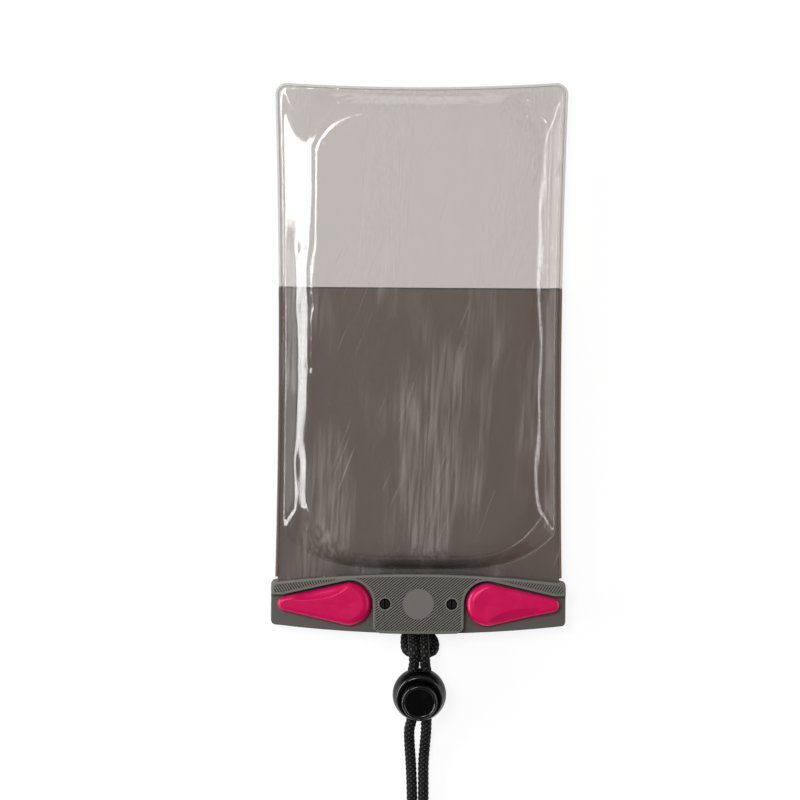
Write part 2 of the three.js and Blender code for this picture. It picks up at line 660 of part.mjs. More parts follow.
function cordHole(height) {
  const shape = new THREE.Shape();
  const corner = 1.6;
  const low = -HOLE_HALF_HEIGHT;
  shape.absarc(HOLE_HALF_WIDTH - corner, low + corner, corner, -Math.PI / 2, 0, false);
  shape.absarc(HOLE_HALF_WIDTH - corner, height - corner, corner, 0, Math.PI / 2, false);
  shape.absarc(-HOLE_HALF_WIDTH + corner, height - corner, corner, Math.PI / 2, Math.PI, false);
  shape.absarc(-HOLE_HALF_WIDTH + corner, low + corner, corner, Math.PI, 1.5 * Math.PI, false);
  return prism(shape, -2 * BALL_RADIUS, 2 * BALL_RADIUS, 3).rotate([90, 0, 0]);
}

function makeLockHousing() {
  const profile = [[0, -BALL_RADIUS]];
  const steps = 11;
  const rimAngle = Math.asin(BALL_CUT / BALL_RADIUS);
  for (let i = 1; i <= steps; i += 1) {
    const angle = -Math.PI / 2 + (rimAngle + Math.PI / 2) * i / steps;
    profile.push([BALL_RADIUS * Math.cos(angle), BALL_RADIUS * Math.sin(angle)]);
  }
  profile.push([0, BALL_CUT]);
  return lathe(profile, 36)
    .subtract(rod(STEM_RADIUS + RUN, BORE_FLOOR, BIG))
    .subtract(rod(BUTTON_RADIUS + RUN, HEAD_BOTTOM - BUTTON_TRAVEL - RUN, BIG, 0, 0, 36))
    .subtract(rod(SPRING_RADIUS + SPRING_WIRE, SPRING_POCKET_FLOOR, BIG, 0, 0, 20))
    .subtract(cordHole(HOLE_HALF_HEIGHT));
}

function makeLockButton() {
  const profile = [
    [0, STEM_BOTTOM], [STEM_RADIUS, STEM_BOTTOM], [STEM_RADIUS, HEAD_BOTTOM], [BUTTON_RADIUS, HEAD_BOTTOM],
    [BUTTON_RADIUS, BUTTON_TOP - 2 * BUTTON_DOME], [BUTTON_RADIUS - BUTTON_DOME, BUTTON_TOP],
    [BUTTON_RADIUS - 2 * BUTTON_DOME, BUTTON_TOP],
    [BUTTON_RADIUS - 3 * BUTTON_DOME, BUTTON_TOP - BUTTON_DOME],
    [0, BUTTON_TOP - BUTTON_DOME / 2],
  ];
  return lathe(profile, 36).subtract(cordHole(HOLE_HALF_HEIGHT + BUTTON_TRAVEL));
}

function makeLockSpring() {
  const points = [];
  const low = SPRING_POCKET_FLOOR + GAP + SPRING_WIRE / 2;
  const high = STEM_BOTTOM - GAP - SPRING_WIRE / 2;
  const perTurn = 12;
  for (let i = 0; i <= SPRING_TURNS * perTurn; i += 1) {
    const angle = 2 * Math.PI * i / perTurn;
    const share = i / (SPRING_TURNS * perTurn);
    const z = low + (high - low) * share;
    points.push([SPRING_RADIUS * Math.cos(angle), SPRING_RADIUS * Math.sin(angle), z]);
  }
  return tube(points, SPRING_WIRE / 2, SPRING_TURNS * perTurn, 5);
}

// Finishes

function finish(color, roughness, metalness = 0, opacity = 1) {
  return new THREE.MeshStandardMaterial({ color, roughness, metalness, opacity, transparent: opacity < 1 });
}

function piece(name, shape, material) {
  const mesh = new THREE.Mesh(shape.isBufferGeometry ? shape : geometryOf(shape), material);
  mesh.name = name;
  return mesh;
}

// A piece made for the right-hand pivot stands there; its twin is turned half round on the left
function leverPair(label, shape, material) {
  const right = piece(`right_${label}`, shape, material);
  right.position.x = PIVOT_X;
  const left = piece(`left_${label}`, shape, material.clone());
  left.position.x = -PIVOT_X;
  left.rotation.z = Math.PI;
  return [left, right];
}

const pouch = new THREE.Group();
const film = makeFilm(BACK_FILM_Z, BACK_DROP);
const backCut = (y0, y1) => film.intersect(block(-BIG, BIG, y0, y1, -BIG, BIG));
const pegs = [-1, 1].map((side) => {
  const peg = piece(side < 0 ? 'left_peg' : 'right_peg', makePeg(), finish(0x141210, 0.45));
  peg.position.x = side * PEG_X;
  return peg;
});
const cordFinish = finish(0x222120, 0.9);
const lock = new THREE.Group();
lock.position.set(LOCK_X, LOCK_Y, BALL_Z);
lock.rotation.x = LOCK_TILT * degrees;
lock.add(
  piece('lock_housing', makeLockHousing(), finish(0x0b0b0c, 0.35)),
  piece('lock_button', makeLockButton(), finish(0x0b0b0c, 0.35)),
  piece('lock_spring', makeLockSpring(), finish(0xb8b8b4, 0.3, 1)),
);
pouch.add(
  piece('front_film', makeFilm(FRONT_FILM_Z, FRONT_RISE), finish(0xe9e5e1, 0.08, 0, 0.25)),
  piece('back_window', backCut(TINT_TOP + GAP / 2, BIG), finish(0xe0dcd8, 0.08, 0, 0.3)),
  piece('back_panel', backCut(-BIG, TINT_TOP - GAP / 2), finish(0x5a4f48, 0.12, 0, 0.8)),
  piece('rim_bead', makeBead(), finish(0xdcd8d4, 0.1, 0, 0.5)),
  piece('rear_jaw', makeRearJaw(), finish(0x55544e, 0.5)),
  piece('front_jaw', makeFrontJaw(), finish(0x6b6963, 0.5)),
  ...leverPair('lever', makeLever(), finish(0xcd0555, 0.25)),
  ...leverPair('shaft', makeShaft(), finish(0xcd0555, 0.3)),
  ...pegs,
  piece('lanyard_hitch', makeHitch(), cordFinish),
  piece('lanyard_left_strand', makeLeftStrand(), cordFinish),
  piece('lanyard_right_strand', makeRightStrand(), cordFinish),
  piece('lanyard_coil', makeCoil(), cordFinish),
  lock,
);

export default pouch;
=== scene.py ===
"""Dresses the waterproof pouch: puffed films, a clip with levers, and a braided neck cord."""

import json
import logging
import math
from dataclasses import dataclass
from enum import Enum
from typing import Any, Callable, Iterable, Sequence

import bmesh
import bpy
import numpy as np
from mathutils import Matrix, Vector

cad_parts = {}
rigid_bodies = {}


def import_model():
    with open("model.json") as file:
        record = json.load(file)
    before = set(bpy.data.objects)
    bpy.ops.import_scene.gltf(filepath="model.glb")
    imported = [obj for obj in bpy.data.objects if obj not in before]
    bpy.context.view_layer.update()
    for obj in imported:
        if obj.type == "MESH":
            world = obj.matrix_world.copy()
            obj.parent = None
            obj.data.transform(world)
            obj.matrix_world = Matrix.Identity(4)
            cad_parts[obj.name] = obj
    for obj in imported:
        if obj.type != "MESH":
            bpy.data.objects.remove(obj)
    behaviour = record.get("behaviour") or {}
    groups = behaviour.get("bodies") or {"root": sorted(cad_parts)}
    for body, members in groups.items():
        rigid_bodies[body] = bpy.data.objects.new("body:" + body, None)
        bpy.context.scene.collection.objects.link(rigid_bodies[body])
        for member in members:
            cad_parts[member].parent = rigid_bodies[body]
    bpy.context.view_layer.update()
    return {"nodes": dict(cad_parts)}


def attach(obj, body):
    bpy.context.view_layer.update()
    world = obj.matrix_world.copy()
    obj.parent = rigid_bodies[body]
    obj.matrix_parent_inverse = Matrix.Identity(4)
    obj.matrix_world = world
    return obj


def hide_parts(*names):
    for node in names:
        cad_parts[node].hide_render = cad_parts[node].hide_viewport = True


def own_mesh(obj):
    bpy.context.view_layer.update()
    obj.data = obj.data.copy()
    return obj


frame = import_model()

LOG = logging.getLogger("pouch")

MM = 0.001
TINT_TOP = 114.0  # upper edge of the smoky panel
LOCK_CENTRE = (0.6, -32.6, 9.67)  # of the cord lock's ball
LOCK_LEAN = math.radians(15)  # of its button, towards the free end of the cord
LOCK_AXIS = (0.0, -math.sin(LOCK_LEAN), math.cos(LOCK_LEAN))

Colour = tuple[float, float, float]
Point = tuple[float, float, float]
Height = Callable[[np.ndarray, np.ndarray], np.ndarray]


class Body(str, Enum):
    """The bodies of the frame that pieces ride on."""

    ROOT = "root"
    FRONT_JAW = "front_jaw"
    LEFT_LEVER = "left_lever"
    RIGHT_LEVER = "right_lever"
    LOCK_BUTTON = "lock_button"


class Face(Enum):
    """Which film of the pouch a sheet is."""

    FRONT = 1
    BACK = -1


# Shader maths


class Wire:
    """A socket of a material, with Python's operators standing for Math nodes."""

    def __init__(self, tree: bpy.types.NodeTree, socket: Any) -> None:
        """Wraps one output socket of a node tree."""
        self.tree = tree
        self.socket = socket

    def _math(self, operation: str, *values: Any, clamp: bool = False) -> "Wire":
        """Adds a Math node.

        Args:
            operation: The node's operation.
            values: Its inputs, each a Wire or a number.
            clamp: Whether the result is held between 0 and 1.

        Returns:
            The node's output.
        """
        node = self.tree.nodes.new("ShaderNodeMath")
        node.operation = operation
        node.use_clamp = clamp
        for slot, value in zip(node.inputs, values):
            if isinstance(value, Wire):
                self.tree.links.new(value.socket, slot)
            else:
                slot.default_value = float(value)
        return Wire(self.tree, node.outputs[0])

    def __add__(self, other: Any) -> "Wire":
        """Returns the sum."""
        return self._math("ADD", self, other)

    __radd__ = __add__

    def __sub__(self, other: Any) -> "Wire":
        """Returns the difference."""
        return self._math("SUBTRACT", self, other)

    def __rsub__(self, other: Any) -> "Wire":
        """Returns the difference, taken from a number."""
        return self._math("SUBTRACT", other, self)

    def __mul__(self, other: Any) -> "Wire":
        """Returns the product."""
        return self._math("MULTIPLY", self, other)

    __rmul__ = __mul__

    def __pow__(self, power: float) -> "Wire":
        """Returns the power."""
        return self._math("POWER", self, power)

    def __abs__(self) -> "Wire":
        """Returns the value without its sign."""
        return self._math("ABSOLUTE", self)

    def ramp(self, low: float, high: float) -> "Wire":
        """Returns 0 below low, 1 above high, and a straight line between them."""
        return self._math("MULTIPLY", self - low, 1 / (high - low), clamp=True)

    def clamp(self) -> "Wire":
        """Returns the value held between 0 and 1."""
        return self._math("ADD", self, 0.0, clamp=True)


class Shader:
    """A material's node tree, with one method that adds any node."""

    def __init__(self, name: str) -> None:
        """Starts an empty material of that name."""
        self.material = bpy.data.materials.new(name)
        self.material.use_nodes = True
        self.tree = self.material.node_tree
        self.tree.nodes.clear()
        self.output = self.tree.nodes.new("ShaderNodeOutputMaterial")

    def node(self, kind: str, settings: dict[str, Any] | None = None, out: Any = 0,
             **values: Any) -> Wire:
        """Adds a node.

        Args:
            kind: The node's type, without its ShaderNode prefix.
            settings: Properties set before its sockets, such as an operation.
            out: Name or number of the output that is returned.
            values: Values or Wires of its inputs, by name with _ for a space, or by in_NUMBER.

        Returns:
            The chosen output.
        """
        made = self.tree.nodes.new(f"ShaderNode{kind}")
        for name, setting in (settings or {}).items():
            setattr(made, name, setting)
        for name, value in values.items():
            key: Any = int(name[3:]) if name.startswith("in_") else name.replace("_", " ")
            slot = made.inputs[key]
            if isinstance(value, Wire):
                self.tree.links.new(value.socket, slot)
            else:
                opaque = slot.type == "RGBA" and len(value) == 3
                slot.default_value = (*value, 1.0) if opaque else value
        return Wire(self.tree, made.outputs[out])

    def place(self, scale: Sequence[float] = (1, 1, 1), turn: float = 0.0) -> Wire:
        """Returns the object's own coordinates in millimetres, turned about Z and scaled."""
        spot = self.node("TexCoord", out="Object")
        stretch = tuple(1 / MM * s for s in scale)
        turned = self.node("Mapping", Vector=spot, Rotation=(0, 0, turn))
        return self.node("Mapping", Vector=turned, Scale=stretch)

    def axis(self, number: int) -> Wire:
        """Returns X, Y or Z of the object's own coordinates in millimetres."""
        return self.node("SeparateXYZ", out=number, Vector=self.place())

    def noise(self, scale: float, detail: float = 3.0, stretch: Sequence[float] = (1, 1, 1),
              turn: float = 0.0, seed: Point = (0, 0, 0)) -> Wire:
        """Adds noise.

        Args:
            scale: Features per millimetre.
            detail: Octaves of finer noise.
            stretch: Scale along each axis.
            turn: Angle of the axes about Z, in radians.
            seed: Shift of the pattern, so that two noises differ.

        Returns:
            The noise, about 0.5 on average.
        """
        spot = self.place(stretch, turn)
        shifted = self.node("VectorMath", {"operation": "ADD"}, in_0=spot, in_1=seed)
        return self.node("TexNoise", Vector=shifted, Scale=scale, Detail=detail, Roughness=0.55)

    def mix(self, share: Any, first: Any, second: Any) -> Wire:
        """Returns a mix of two colours."""
        return self.node("Mix", {"data_type": "RGBA"}, out=2, in_0=share, in_6=first, in_7=second)

    def dot(self, first: Any, second: Any) -> Wire:
        """Returns the dot product of two directions, 1 where they agree."""
        settings = {"operation": "DOT_PRODUCT"}
        return self.node("VectorMath", settings, out="Value", in_0=first, in_1=second)

    def bump(self, height: Wire, distance: float, strength: float = 1.0) -> Wire:
        """Returns a normal that the height, 0 to 1, lifts by a distance in millimetres."""
        return self.node("Bump", Height=height, Distance=distance * MM, Strength=strength)

    def finish(self, surface: Wire) -> bpy.types.Material:
        """Links the surface and returns the material."""
        self.tree.links.new(surface.socket, self.output.inputs["Surface"])
        return self.material


def linear(red: int, green: int, blue: int) -> Colour:
    """Returns a colour of 0 to 255 as the shader takes it."""
    def channel(value: int) -> float:
        """Returns one channel without its display curve."""
        share = value / 255
        return share / 12.92 if share <= 0.04045 else ((share + 0.055) / 1.055) ** 2.4
    return channel(red), channel(green), channel(blue)


@dataclass(frozen=True)
class FilmFinish:
    """Clear or smoky flexible film: see-through, glossy, with a haze of handling.

    A film with a seam is welded along that line, drawn as a dark line, and painted shade darkens it
    towards its foot, inside the clip: a painted shadow and dark reflection, darkest in the middle.
    Each ring is a press mark: x, y, radius and half width.
    """

    name: str
    tint: Colour
    haze_colour: Colour
    haze: float
    scuffs: float
    slot: str
    seam: float = 0.0
    rings: tuple[tuple[float, float, float, float], ...] = ()
    index: float = 1.5
    # colour of the painted shade at the foot, and of the weld line
    shade: Colour = linear(24, 19, 16)
    foot: tuple[float, float] = (10.0, 28.0)  # along the film, where the shade fades out
    foot_half: tuple[float, float] = (8.0, 50.0)  # the same, from the middle out
    weld: tuple[float, float] = (-0.9, -0.6)  # from the seam

    def ridges(self, shader: Shader) -> Any:
        """Returns the press marks, 1 on the crest of each ring."""
        total: Any = 0.0
        for x, y, radius, half in self.rings:
            across = shader.axis(0) - x
            along = shader.axis(1) - y
            off = abs(across * across + along * along - radius ** 2)
            total = (1 - off.ramp(0, 2 * radius * half)) + total
        return total

    def wear(self, shader: Shader) -> Wire:
        """Returns where handling dulls the film: streaked clouds, dust and fine scratches."""
        cloud = shader.noise(0.03, 2.0, (1.8, 0.5, 1), 0.06, (3, 9, 0)).ramp(0.5, 0.62)
        streaks = shader.noise(0.9, 4.0, (1, 0.05, 1), 0.05, (1, 5, 2)).ramp(0.4, 0.8)
        dust = shader.noise(1.5, 2.0, seed=(4, 2, 8)).ramp(0.7, 0.76)
        scratch = shader.noise(1.1, 1.0, (1, 0.03, 1), 0.35, (8, 2, 4)).ramp(0.71, 0.74)
        return (cloud * streaks * 0.5 + dust * 0.3 + scratch * 0.25) * self.scuffs

    def material(self) -> bpy.types.Material:
        """Builds the film's material.

        Returns:
            A mix of clear film, its mirror-like gloss and a diffuse haze.
        """
        shader = Shader(self.name)
        ripple = shader.noise(0.09, 2.0, (1, 0.35, 1))
        fine = shader.noise(0.9, 4.0, (1, 0.6, 1), seed=(7, 3, 1))
        normal = shader.bump(ripple * 0.85 + fine * 0.15 + self.ridges(shader) * 0.95, 0.5, 0.6)
        wear = self.wear(shader)
        behind = shader.node("NewGeometry", out="Backfacing")
        index = self.index - behind * (self.index - 1 / self.index)  # inverted on the way out
        fresnel = shader.node("Fresnel", IOR=index, Normal=normal)
        clear = shader.node("BsdfTransparent", Color=self.tint)
        gloss = shader.node("BsdfPrincipled", Base_Color=(1, 1, 1), Metallic=1.0, Roughness=0.06,
                            Normal=normal)
        film = shader.node("MixShader", Fac=fresnel, in_1=clear, in_2=gloss)
        pale: Any = self.haze_colour
        share = wear + self.haze
        if self.seam:
            along = shader.axis(1)
            across = shader.axis(0)
            middle = 1 - abs(across).ramp(*self.foot_half)
            # painted shade: a shadow and dark reflection above the clip, fading up the film and out
            # to the sides
            near = ((1 - along.ramp(*self.foot)) ** 1.3) * (middle * 0.85 + 0.15) * 1.3
            welded = along.ramp(self.seam + self.weld[0], self.seam + self.weld[1])
            pale = shader.mix((near + welded).clamp(), self.haze_colour, self.shade)
            share = share + (near + welded * 0.8).clamp() * 0.9
        matte = shader.node("BsdfPrincipled", Base_Color=pale, Roughness=0.35, Normal=normal)
        return shader.finish(shader.node("MixShader", Fac=share.clamp(), in_1=film, in_2=matte))


@dataclass(frozen=True)
class BeadFinish:
    """The thick fused edge of the films, clear above the smoky panel and tinted beside it."""

    name: str
    clear: Colour
    smoky: Colour
    slot: str
    clear_tint: Colour = (0.93, 0.92, 0.91)
    smoky_tint: Colour = (0.5, 0.44, 0.4)
    solid_share: float = 0.36
    change: tuple[float, float] = (TINT_TOP - 0.6, TINT_TOP + 0.2)

    def material(self) -> bpy.types.Material:
        """Builds the bead's material.

        Returns:
            Mostly see-through plastic, glossy, that changes colour where the smoky panel starts.
        """
        shader = Shader(self.name)
        upper = shader.axis(1).ramp(*self.change)
        colour = shader.mix(upper, self.smoky, self.clear)
        waves = shader.noise(0.4, 3.0)
        normal = shader.bump(waves, 0.15, 0.5)
        tint = shader.mix(upper, self.smoky_tint, self.clear_tint)
        clear = shader.node("BsdfTransparent", Color=tint)
        rough = waves * 0.1 + 0.1
        solid = shader.node("BsdfPrincipled", Base_Color=colour, Roughness=rough, Normal=normal)
        share = self.solid_share + waves * 0.1
        return shader.finish(shader.node("MixShader", Fac=share, in_1=clear, in_2=solid))


@dataclass(frozen=True)
class PlasticFinish:
    """Moulded plastic with a faint texture, a duller mottling and paler edges, partly wear and
    partly a painted highlight.

    Lengths are in millimetres. The edge is the radius that softens corners, groove is the height of
    the grooves' floor and their depth, with painted shade inside the grooves, and what lies below
    the deck is darkened by painted shade.
    """

    name: str
    colour: Colour
    slot: str
    roughness: float = 0.4
    grain: float = 0.03
    grain_scale: float = 3.0
    # paleness of the edges: partly wear, partly a painted highlight
    wear: float = 0.12
    edge: float = 0.18
    coat: float = 0.0
    specular: float = 0.5
    groove: tuple[float, float] = (0.0, 0.0)
    groove_shade: float = 0.08
    deck: float = 0.0
    deck_shade: float = 0.3
    deck_share: float = 0.55
    gloss_tint: Colour = (1.0, 1.0, 1.0)

    def material(self) -> bpy.types.Material:
        """Builds the plastic's material.

        Returns:
            A principled plastic whose edges are softened and slightly paler: partly wear, partly a
            painted highlight.
        """
        shader = Shader(self.name)
        rounded = shader.node("Bevel", {"samples": 4}, Radius=self.edge * MM)
        mottle = shader.noise(0.35, 4.0)
        grain = shader.noise(self.grain_scale, 3.0, seed=(5, 1, 3))
        normal = shader.node("Bump", Height=grain, Distance=self.grain * MM, Strength=0.6,
                             Normal=rounded)
        pointing = shader.node("NewGeometry", out="Normal")
        edge = (1 - shader.dot(rounded, pointing)).ramp(0.01, 0.18)
        # paler edges: partly wear, partly a painted highlight; the mottling is the plastic's own
        edge_highlight_and_wear = edge * self.wear + mottle.ramp(0.5, 0.8) * 0.05
        pale = tuple(min(1.0, c * 1.6 + 0.06) for c in self.colour)
        base = shader.mix(edge_highlight_and_wear, self.colour, pale)
        # painted shade: the grooves are darker inside, where shade falls
        floor, depth = self.groove
        if depth:
            height = shader.axis(2)
            above = height.ramp(floor - 0.1, floor - 0.05)
            inside = above * (1 - height.ramp(floor, floor + depth * 0.8))
            dark = tuple(c * self.groove_shade for c in self.colour)
            base = shader.mix(inside * 0.9, base, dark)
        # painted shade: the recess below the deck, beside the plate and under the levers
        if self.deck:
            painted_deck_shade = 1 - shader.axis(2).ramp(self.deck, self.deck + 0.4)
            dark = tuple(c * self.deck_shade for c in self.colour)
            base = shader.mix(painted_deck_shade * self.deck_share, base, dark)
        rough = mottle * 0.14 + (self.roughness - 0.07)
        coat: Any = self.coat
        if coat:
            facing = shader.dot(pointing, LOCK_AXIS)  # the coat is on the lock's round flanks alone
            coat = (1 - facing.ramp(0.93, 0.985)) * facing.ramp(0.3, 0.6) * coat
        return shader.finish(shader.node(
            "BsdfPrincipled", Base_Color=base, Roughness=rough, Normal=normal, Coat_Weight=coat,
            Coat_Roughness=0.12, Specular_IOR_Level=self.specular, Specular_Tint=self.gloss_tint))


@dataclass(frozen=True)
class BraidFinish:
    """Black braided cord: interlocked plaits round its length, matte fibres, and a painted sheen on
    the plaits' crowns.
    """

    name: str
    colour: Colour
    slot: str

    def material(self) -> bpy.types.Material:
        """Builds the cord's material on the tube's own UV map, U round it and V along it.

        Returns:
            A rough fabric whose plaits are picked out by their relief and by a painted sheen on
            their crowns.
        """
        shader = Shader(self.name)
        relief = shader.node("Attribute", {"attribute_name": "relief"}, out="Fac")
        spot = shader.node("UVMap", {"uv_map": "cord"})
        stretch = (11.0, 1.4, 1.0)
        long = shader.node("VectorMath", {"operation": "MULTIPLY"}, in_0=spot, in_1=stretch)
        fibre = shader.node("TexNoise", Vector=long, Scale=3.0, Detail=4.0, Roughness=0.6)
        # painted sheen: the plaits' raised crowns are lightened where light would catch them
        crown_sheen = relief.ramp(0.68, 1.0) ** 1.6
        pale = tuple(c * 5.0 + 0.2 for c in self.colour)
        base = shader.mix(crown_sheen * fibre.ramp(0.3, 0.6), self.colour, pale)
        return shader.finish(shader.node(
            "BsdfPrincipled", Base_Color=base, Roughness=0.62, Normal=shader.bump(fibre, 0.12, 0.7),
            Specular_IOR_Level=0.15))


@dataclass(frozen=True)
class SteelFinish:
    """Bright spring wire with fine drawing marks."""

    name: str
    slot: str

    def material(self) -> bpy.types.Material:
        """Returns a brushed metal."""
        shader = Shader(self.name)
        marks = shader.noise(6.0, 2.0, (1, 1, 0.2))
        return shader.finish(shader.node(
            "BsdfPrincipled", Base_Color=(0.62, 0.62, 0.6), Metallic=1.0,
            Roughness=marks * 0.2 + 0.2, Normal=shader.bump(marks, 0.01)))


PRESS_MARKS = (
    (18.9, 181.7, 1.7, 0.4), (19.3, 181.2, 2.8, 0.4), (5.0, 179.6, 3.4, 0.4),
    (-26.3, 181.6, 1.3, 0.4), (-29.0, 180.8, 1.3, 0.4), (37.6, 180.5, 1.6, 0.4),
    (40.5, 172.0, 4.5, 0.35), (44.6, 158.0, 5.0, 0.35))

CLEAR_FILM = FilmFinish("clear film", tint=(0.9, 0.885, 0.875), haze_colour=linear(218, 212, 208),
                        haze=0.035, scuffs=0.4, slot="clear_film", rings=PRESS_MARKS)
BACK_FILM = FilmFinish("clear back film", tint=(0.9, 0.88, 0.87), haze_colour=linear(204, 198, 194),
                       haze=0.08, scuffs=0.05, slot="clear_film")
# its seam brings the dark weld line and the painted shade towards the clip
SMOKE_FILM = FilmFinish("smoky film", tint=(0.28, 0.22, 0.19), haze_colour=linear(130, 110, 95),
                        haze=0.5, scuffs=0.05, slot="smoke_film", seam=TINT_TOP)
BEAD_FILM = BeadFinish("rim bead", linear(206, 201, 198), linear(112, 97, 87), "clear_bead")
JAW_GREY = PlasticFinish("jaw grey", linear(92, 88, 84), "jaw_grey", roughness=0.42, grain=0.02)
# its pale edges are mostly a painted highlight
PLATE_GREY = PlasticFinish("plate grey", linear(104, 100, 94), "plate_grey", roughness=0.45,
                           grain=0.02, wear=0.85, groove=(12.2, 0.5), deck=9.4)
LEVER_PINK = PlasticFinish("lever magenta", linear(202, 0, 80), "lever_pink", roughness=0.3,
                           grain=0.004, grain_scale=1.2, wear=0.03, edge=0.3, specular=0.6,
                           gloss_tint=(1.0, 0.4, 0.62))
PEG_BLACK = PlasticFinish("peg black", linear(16, 14, 12), "peg_black", grain=0.02, wear=0.05,
                          specular=0.15)
LOCK_BLACK = PlasticFinish("lock black", linear(5, 5, 5), "lock_black", roughness=0.3, grain=0.012,
                           grain_scale=2.0, wear=0.02, edge=0.1, coat=1.0, specular=0.08)
CORD_BLACK = BraidFinish("braided cord", linear(11, 11, 10), "cord_black")
SPRING_STEEL = SteelFinish("spring wire", "spring_steel")


# Meshes


def smooth(piece: bpy.types.Object, angle: float = 40.0) -> None:
    """Shades a mesh smooth, and keeps edges sharper than an angle in degrees."""
    mesh = piece.data
    mesh.polygons.foreach_set("use_smooth", [True] * len(mesh.polygons))
    mesh.update()
    made = bmesh.new()
    made.from_mesh(mesh)
    for edge in made.edges:
        edge.smooth = edge.calc_face_angle(math.pi) < math.radians(angle)
    made.to_mesh(mesh)
    made.free()


def add_mesh(name: str, points: Iterable[Sequence[float]],
             faces: Iterable[Sequence[int]]) -> bpy.types.Object:
    """Adds a mesh object.

    Args:
        name: Its name.
        points: Vertices in millimetres.
        faces: Vertex numbers of each face.

    Returns:
        The new object, at the origin.
    """
    mesh = bpy.data.meshes.new(name)
    mesh.from_pydata([tuple(c * MM for c in p) for p in points], [], [tuple(f) for f in faces])
    mesh.validate()
    mesh.update()
    piece = bpy.data.objects.new(name, mesh)
    bpy.context.scene.collection.objects.link(piece)
    return piece


def dress(piece: bpy.types.Object, finish: Any, body: Body, *nodes: str) -> bpy.types.Object:
    """Gives a piece its finish and body, and hides the CAD nodes it stands for."""
    piece.data.materials.clear()
    piece.data.materials.append(MATERIALS.get(finish))
    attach(piece, body.value)
    if nodes:
        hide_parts(*nodes)
    return piece


class Shelf:
    """Keeps one material for each finish."""

    def __init__(self) -> None:
        """Starts with no material made."""
        self.made: dict[str, bpy.types.Material] = {}

    def get(self, finish: Any) -> bpy.types.Material:
        """Returns the finish's material, built at its first use."""
        if finish.name not in self.made:
            self.made[finish.name] = finish.material()
        return self.made[finish.name]


MATERIALS = Shelf()


def apply_modifiers(piece: bpy.types.Object) -> None:
    """Replaces the mesh by what its modifiers make of it."""
    graph = bpy.context.evaluated_depsgraph_get()
    mesh = bpy.data.meshes.new_from_object(piece.evaluated_get(graph))
    piece.modifiers.clear()
    piece.data = mesh


def copy_node(node: str, name: str) -> bpy.types.Object:
    """Copies a CAD node's mesh, with its split vertices joined.

    Args:
        node: The CAD node.
        name: Name of the new piece.

    Returns:
        The copy, ready to be shaded and dressed.
    """
    made = bmesh.new()
    made.from_mesh(frame["nodes"][node].data)
    bmesh.ops.remove_doubles(made, verts=made.verts, dist=1e-6)
    flat = math.radians(0.4)
    bmesh.ops.dissolve_limit(made, angle_limit=flat, verts=made.verts, edges=made.edges)
    mesh = bpy.data.meshes.new(name)
    made.to_mesh(mesh)
    made.free()
    piece = bpy.data.objects.new(name, mesh)
    bpy.context.scene.collection.objects.link(piece)
    return piece


def turned(name: str, profile: Sequence[tuple[float, float]],
           sides: int = 64) -> bpy.types.Object:
    """Adds a turned piece about Z.

    Args:
        name: Its name.
        profile: Radius and height of each ring, from the bottom middle to the top middle.
        sides: Faces round it.

    Returns:
        The closed mesh.
    """
    points: list[Point] = []
    faces: list[tuple[int, ...]] = []
    rings: list[list[int]] = []
    for radius, height in profile:
        start = len(points)
        count = 1 if radius < 1e-6 else sides
        for i in range(count):
            angle = 2 * math.pi * i / sides
            points.append((radius * math.cos(angle), radius * math.sin(angle), height))
        rings.append([start + i % count for i in range(sides)])
    for low, high in zip(rings, rings[1:]):
        for i in range(sides):
            j = (i + 1) % sides
            corner = list(dict.fromkeys((low[i], low[j], high[j], high[i])))
            if len(corner) > 2:
                faces.append(tuple(corner))
    return add_mesh(name, points, faces)


def prism(name: str, near: Sequence[Point], far: Sequence[Point]) -> bpy.types.Object:
    """Adds a closed prism between two loops of as many points."""
    count = len(near)
    faces = [(i, (i + 1) % count, count + (i + 1) % count, count + i) for i in range(count)]
    faces += [tuple(range(count))[::-1], tuple(range(count, 2 * count))]
    return add_mesh(name, [*near, *far], faces)


def carve(piece: bpy.types.Object, cutter: bpy.types.Object) -> None:
    """Cuts one closed mesh out of another, and deletes the cutter."""
    cut = piece.modifiers.new("cut", "BOOLEAN")
    cut.operation = "DIFFERENCE"
    cut.solver = "EXACT"
    cut.object = cutter
    apply_modifiers(piece)
    bpy.data.objects.remove(cutter)


# Pouch


def bell(place: np.ndarray, middle: float, width: float) -> np.ndarray:
    """Returns a smooth hump, 1 at its middle."""
    return np.exp(-((place - middle) / width) ** 2)


def rising(place: np.ndarray, middle: float, width: float) -> np.ndarray:
    """Returns a smooth step from 0 to 1, or from 1 to 0 where the width is negative."""
    return 1 / (1 + np.exp(-(place - middle) / width))


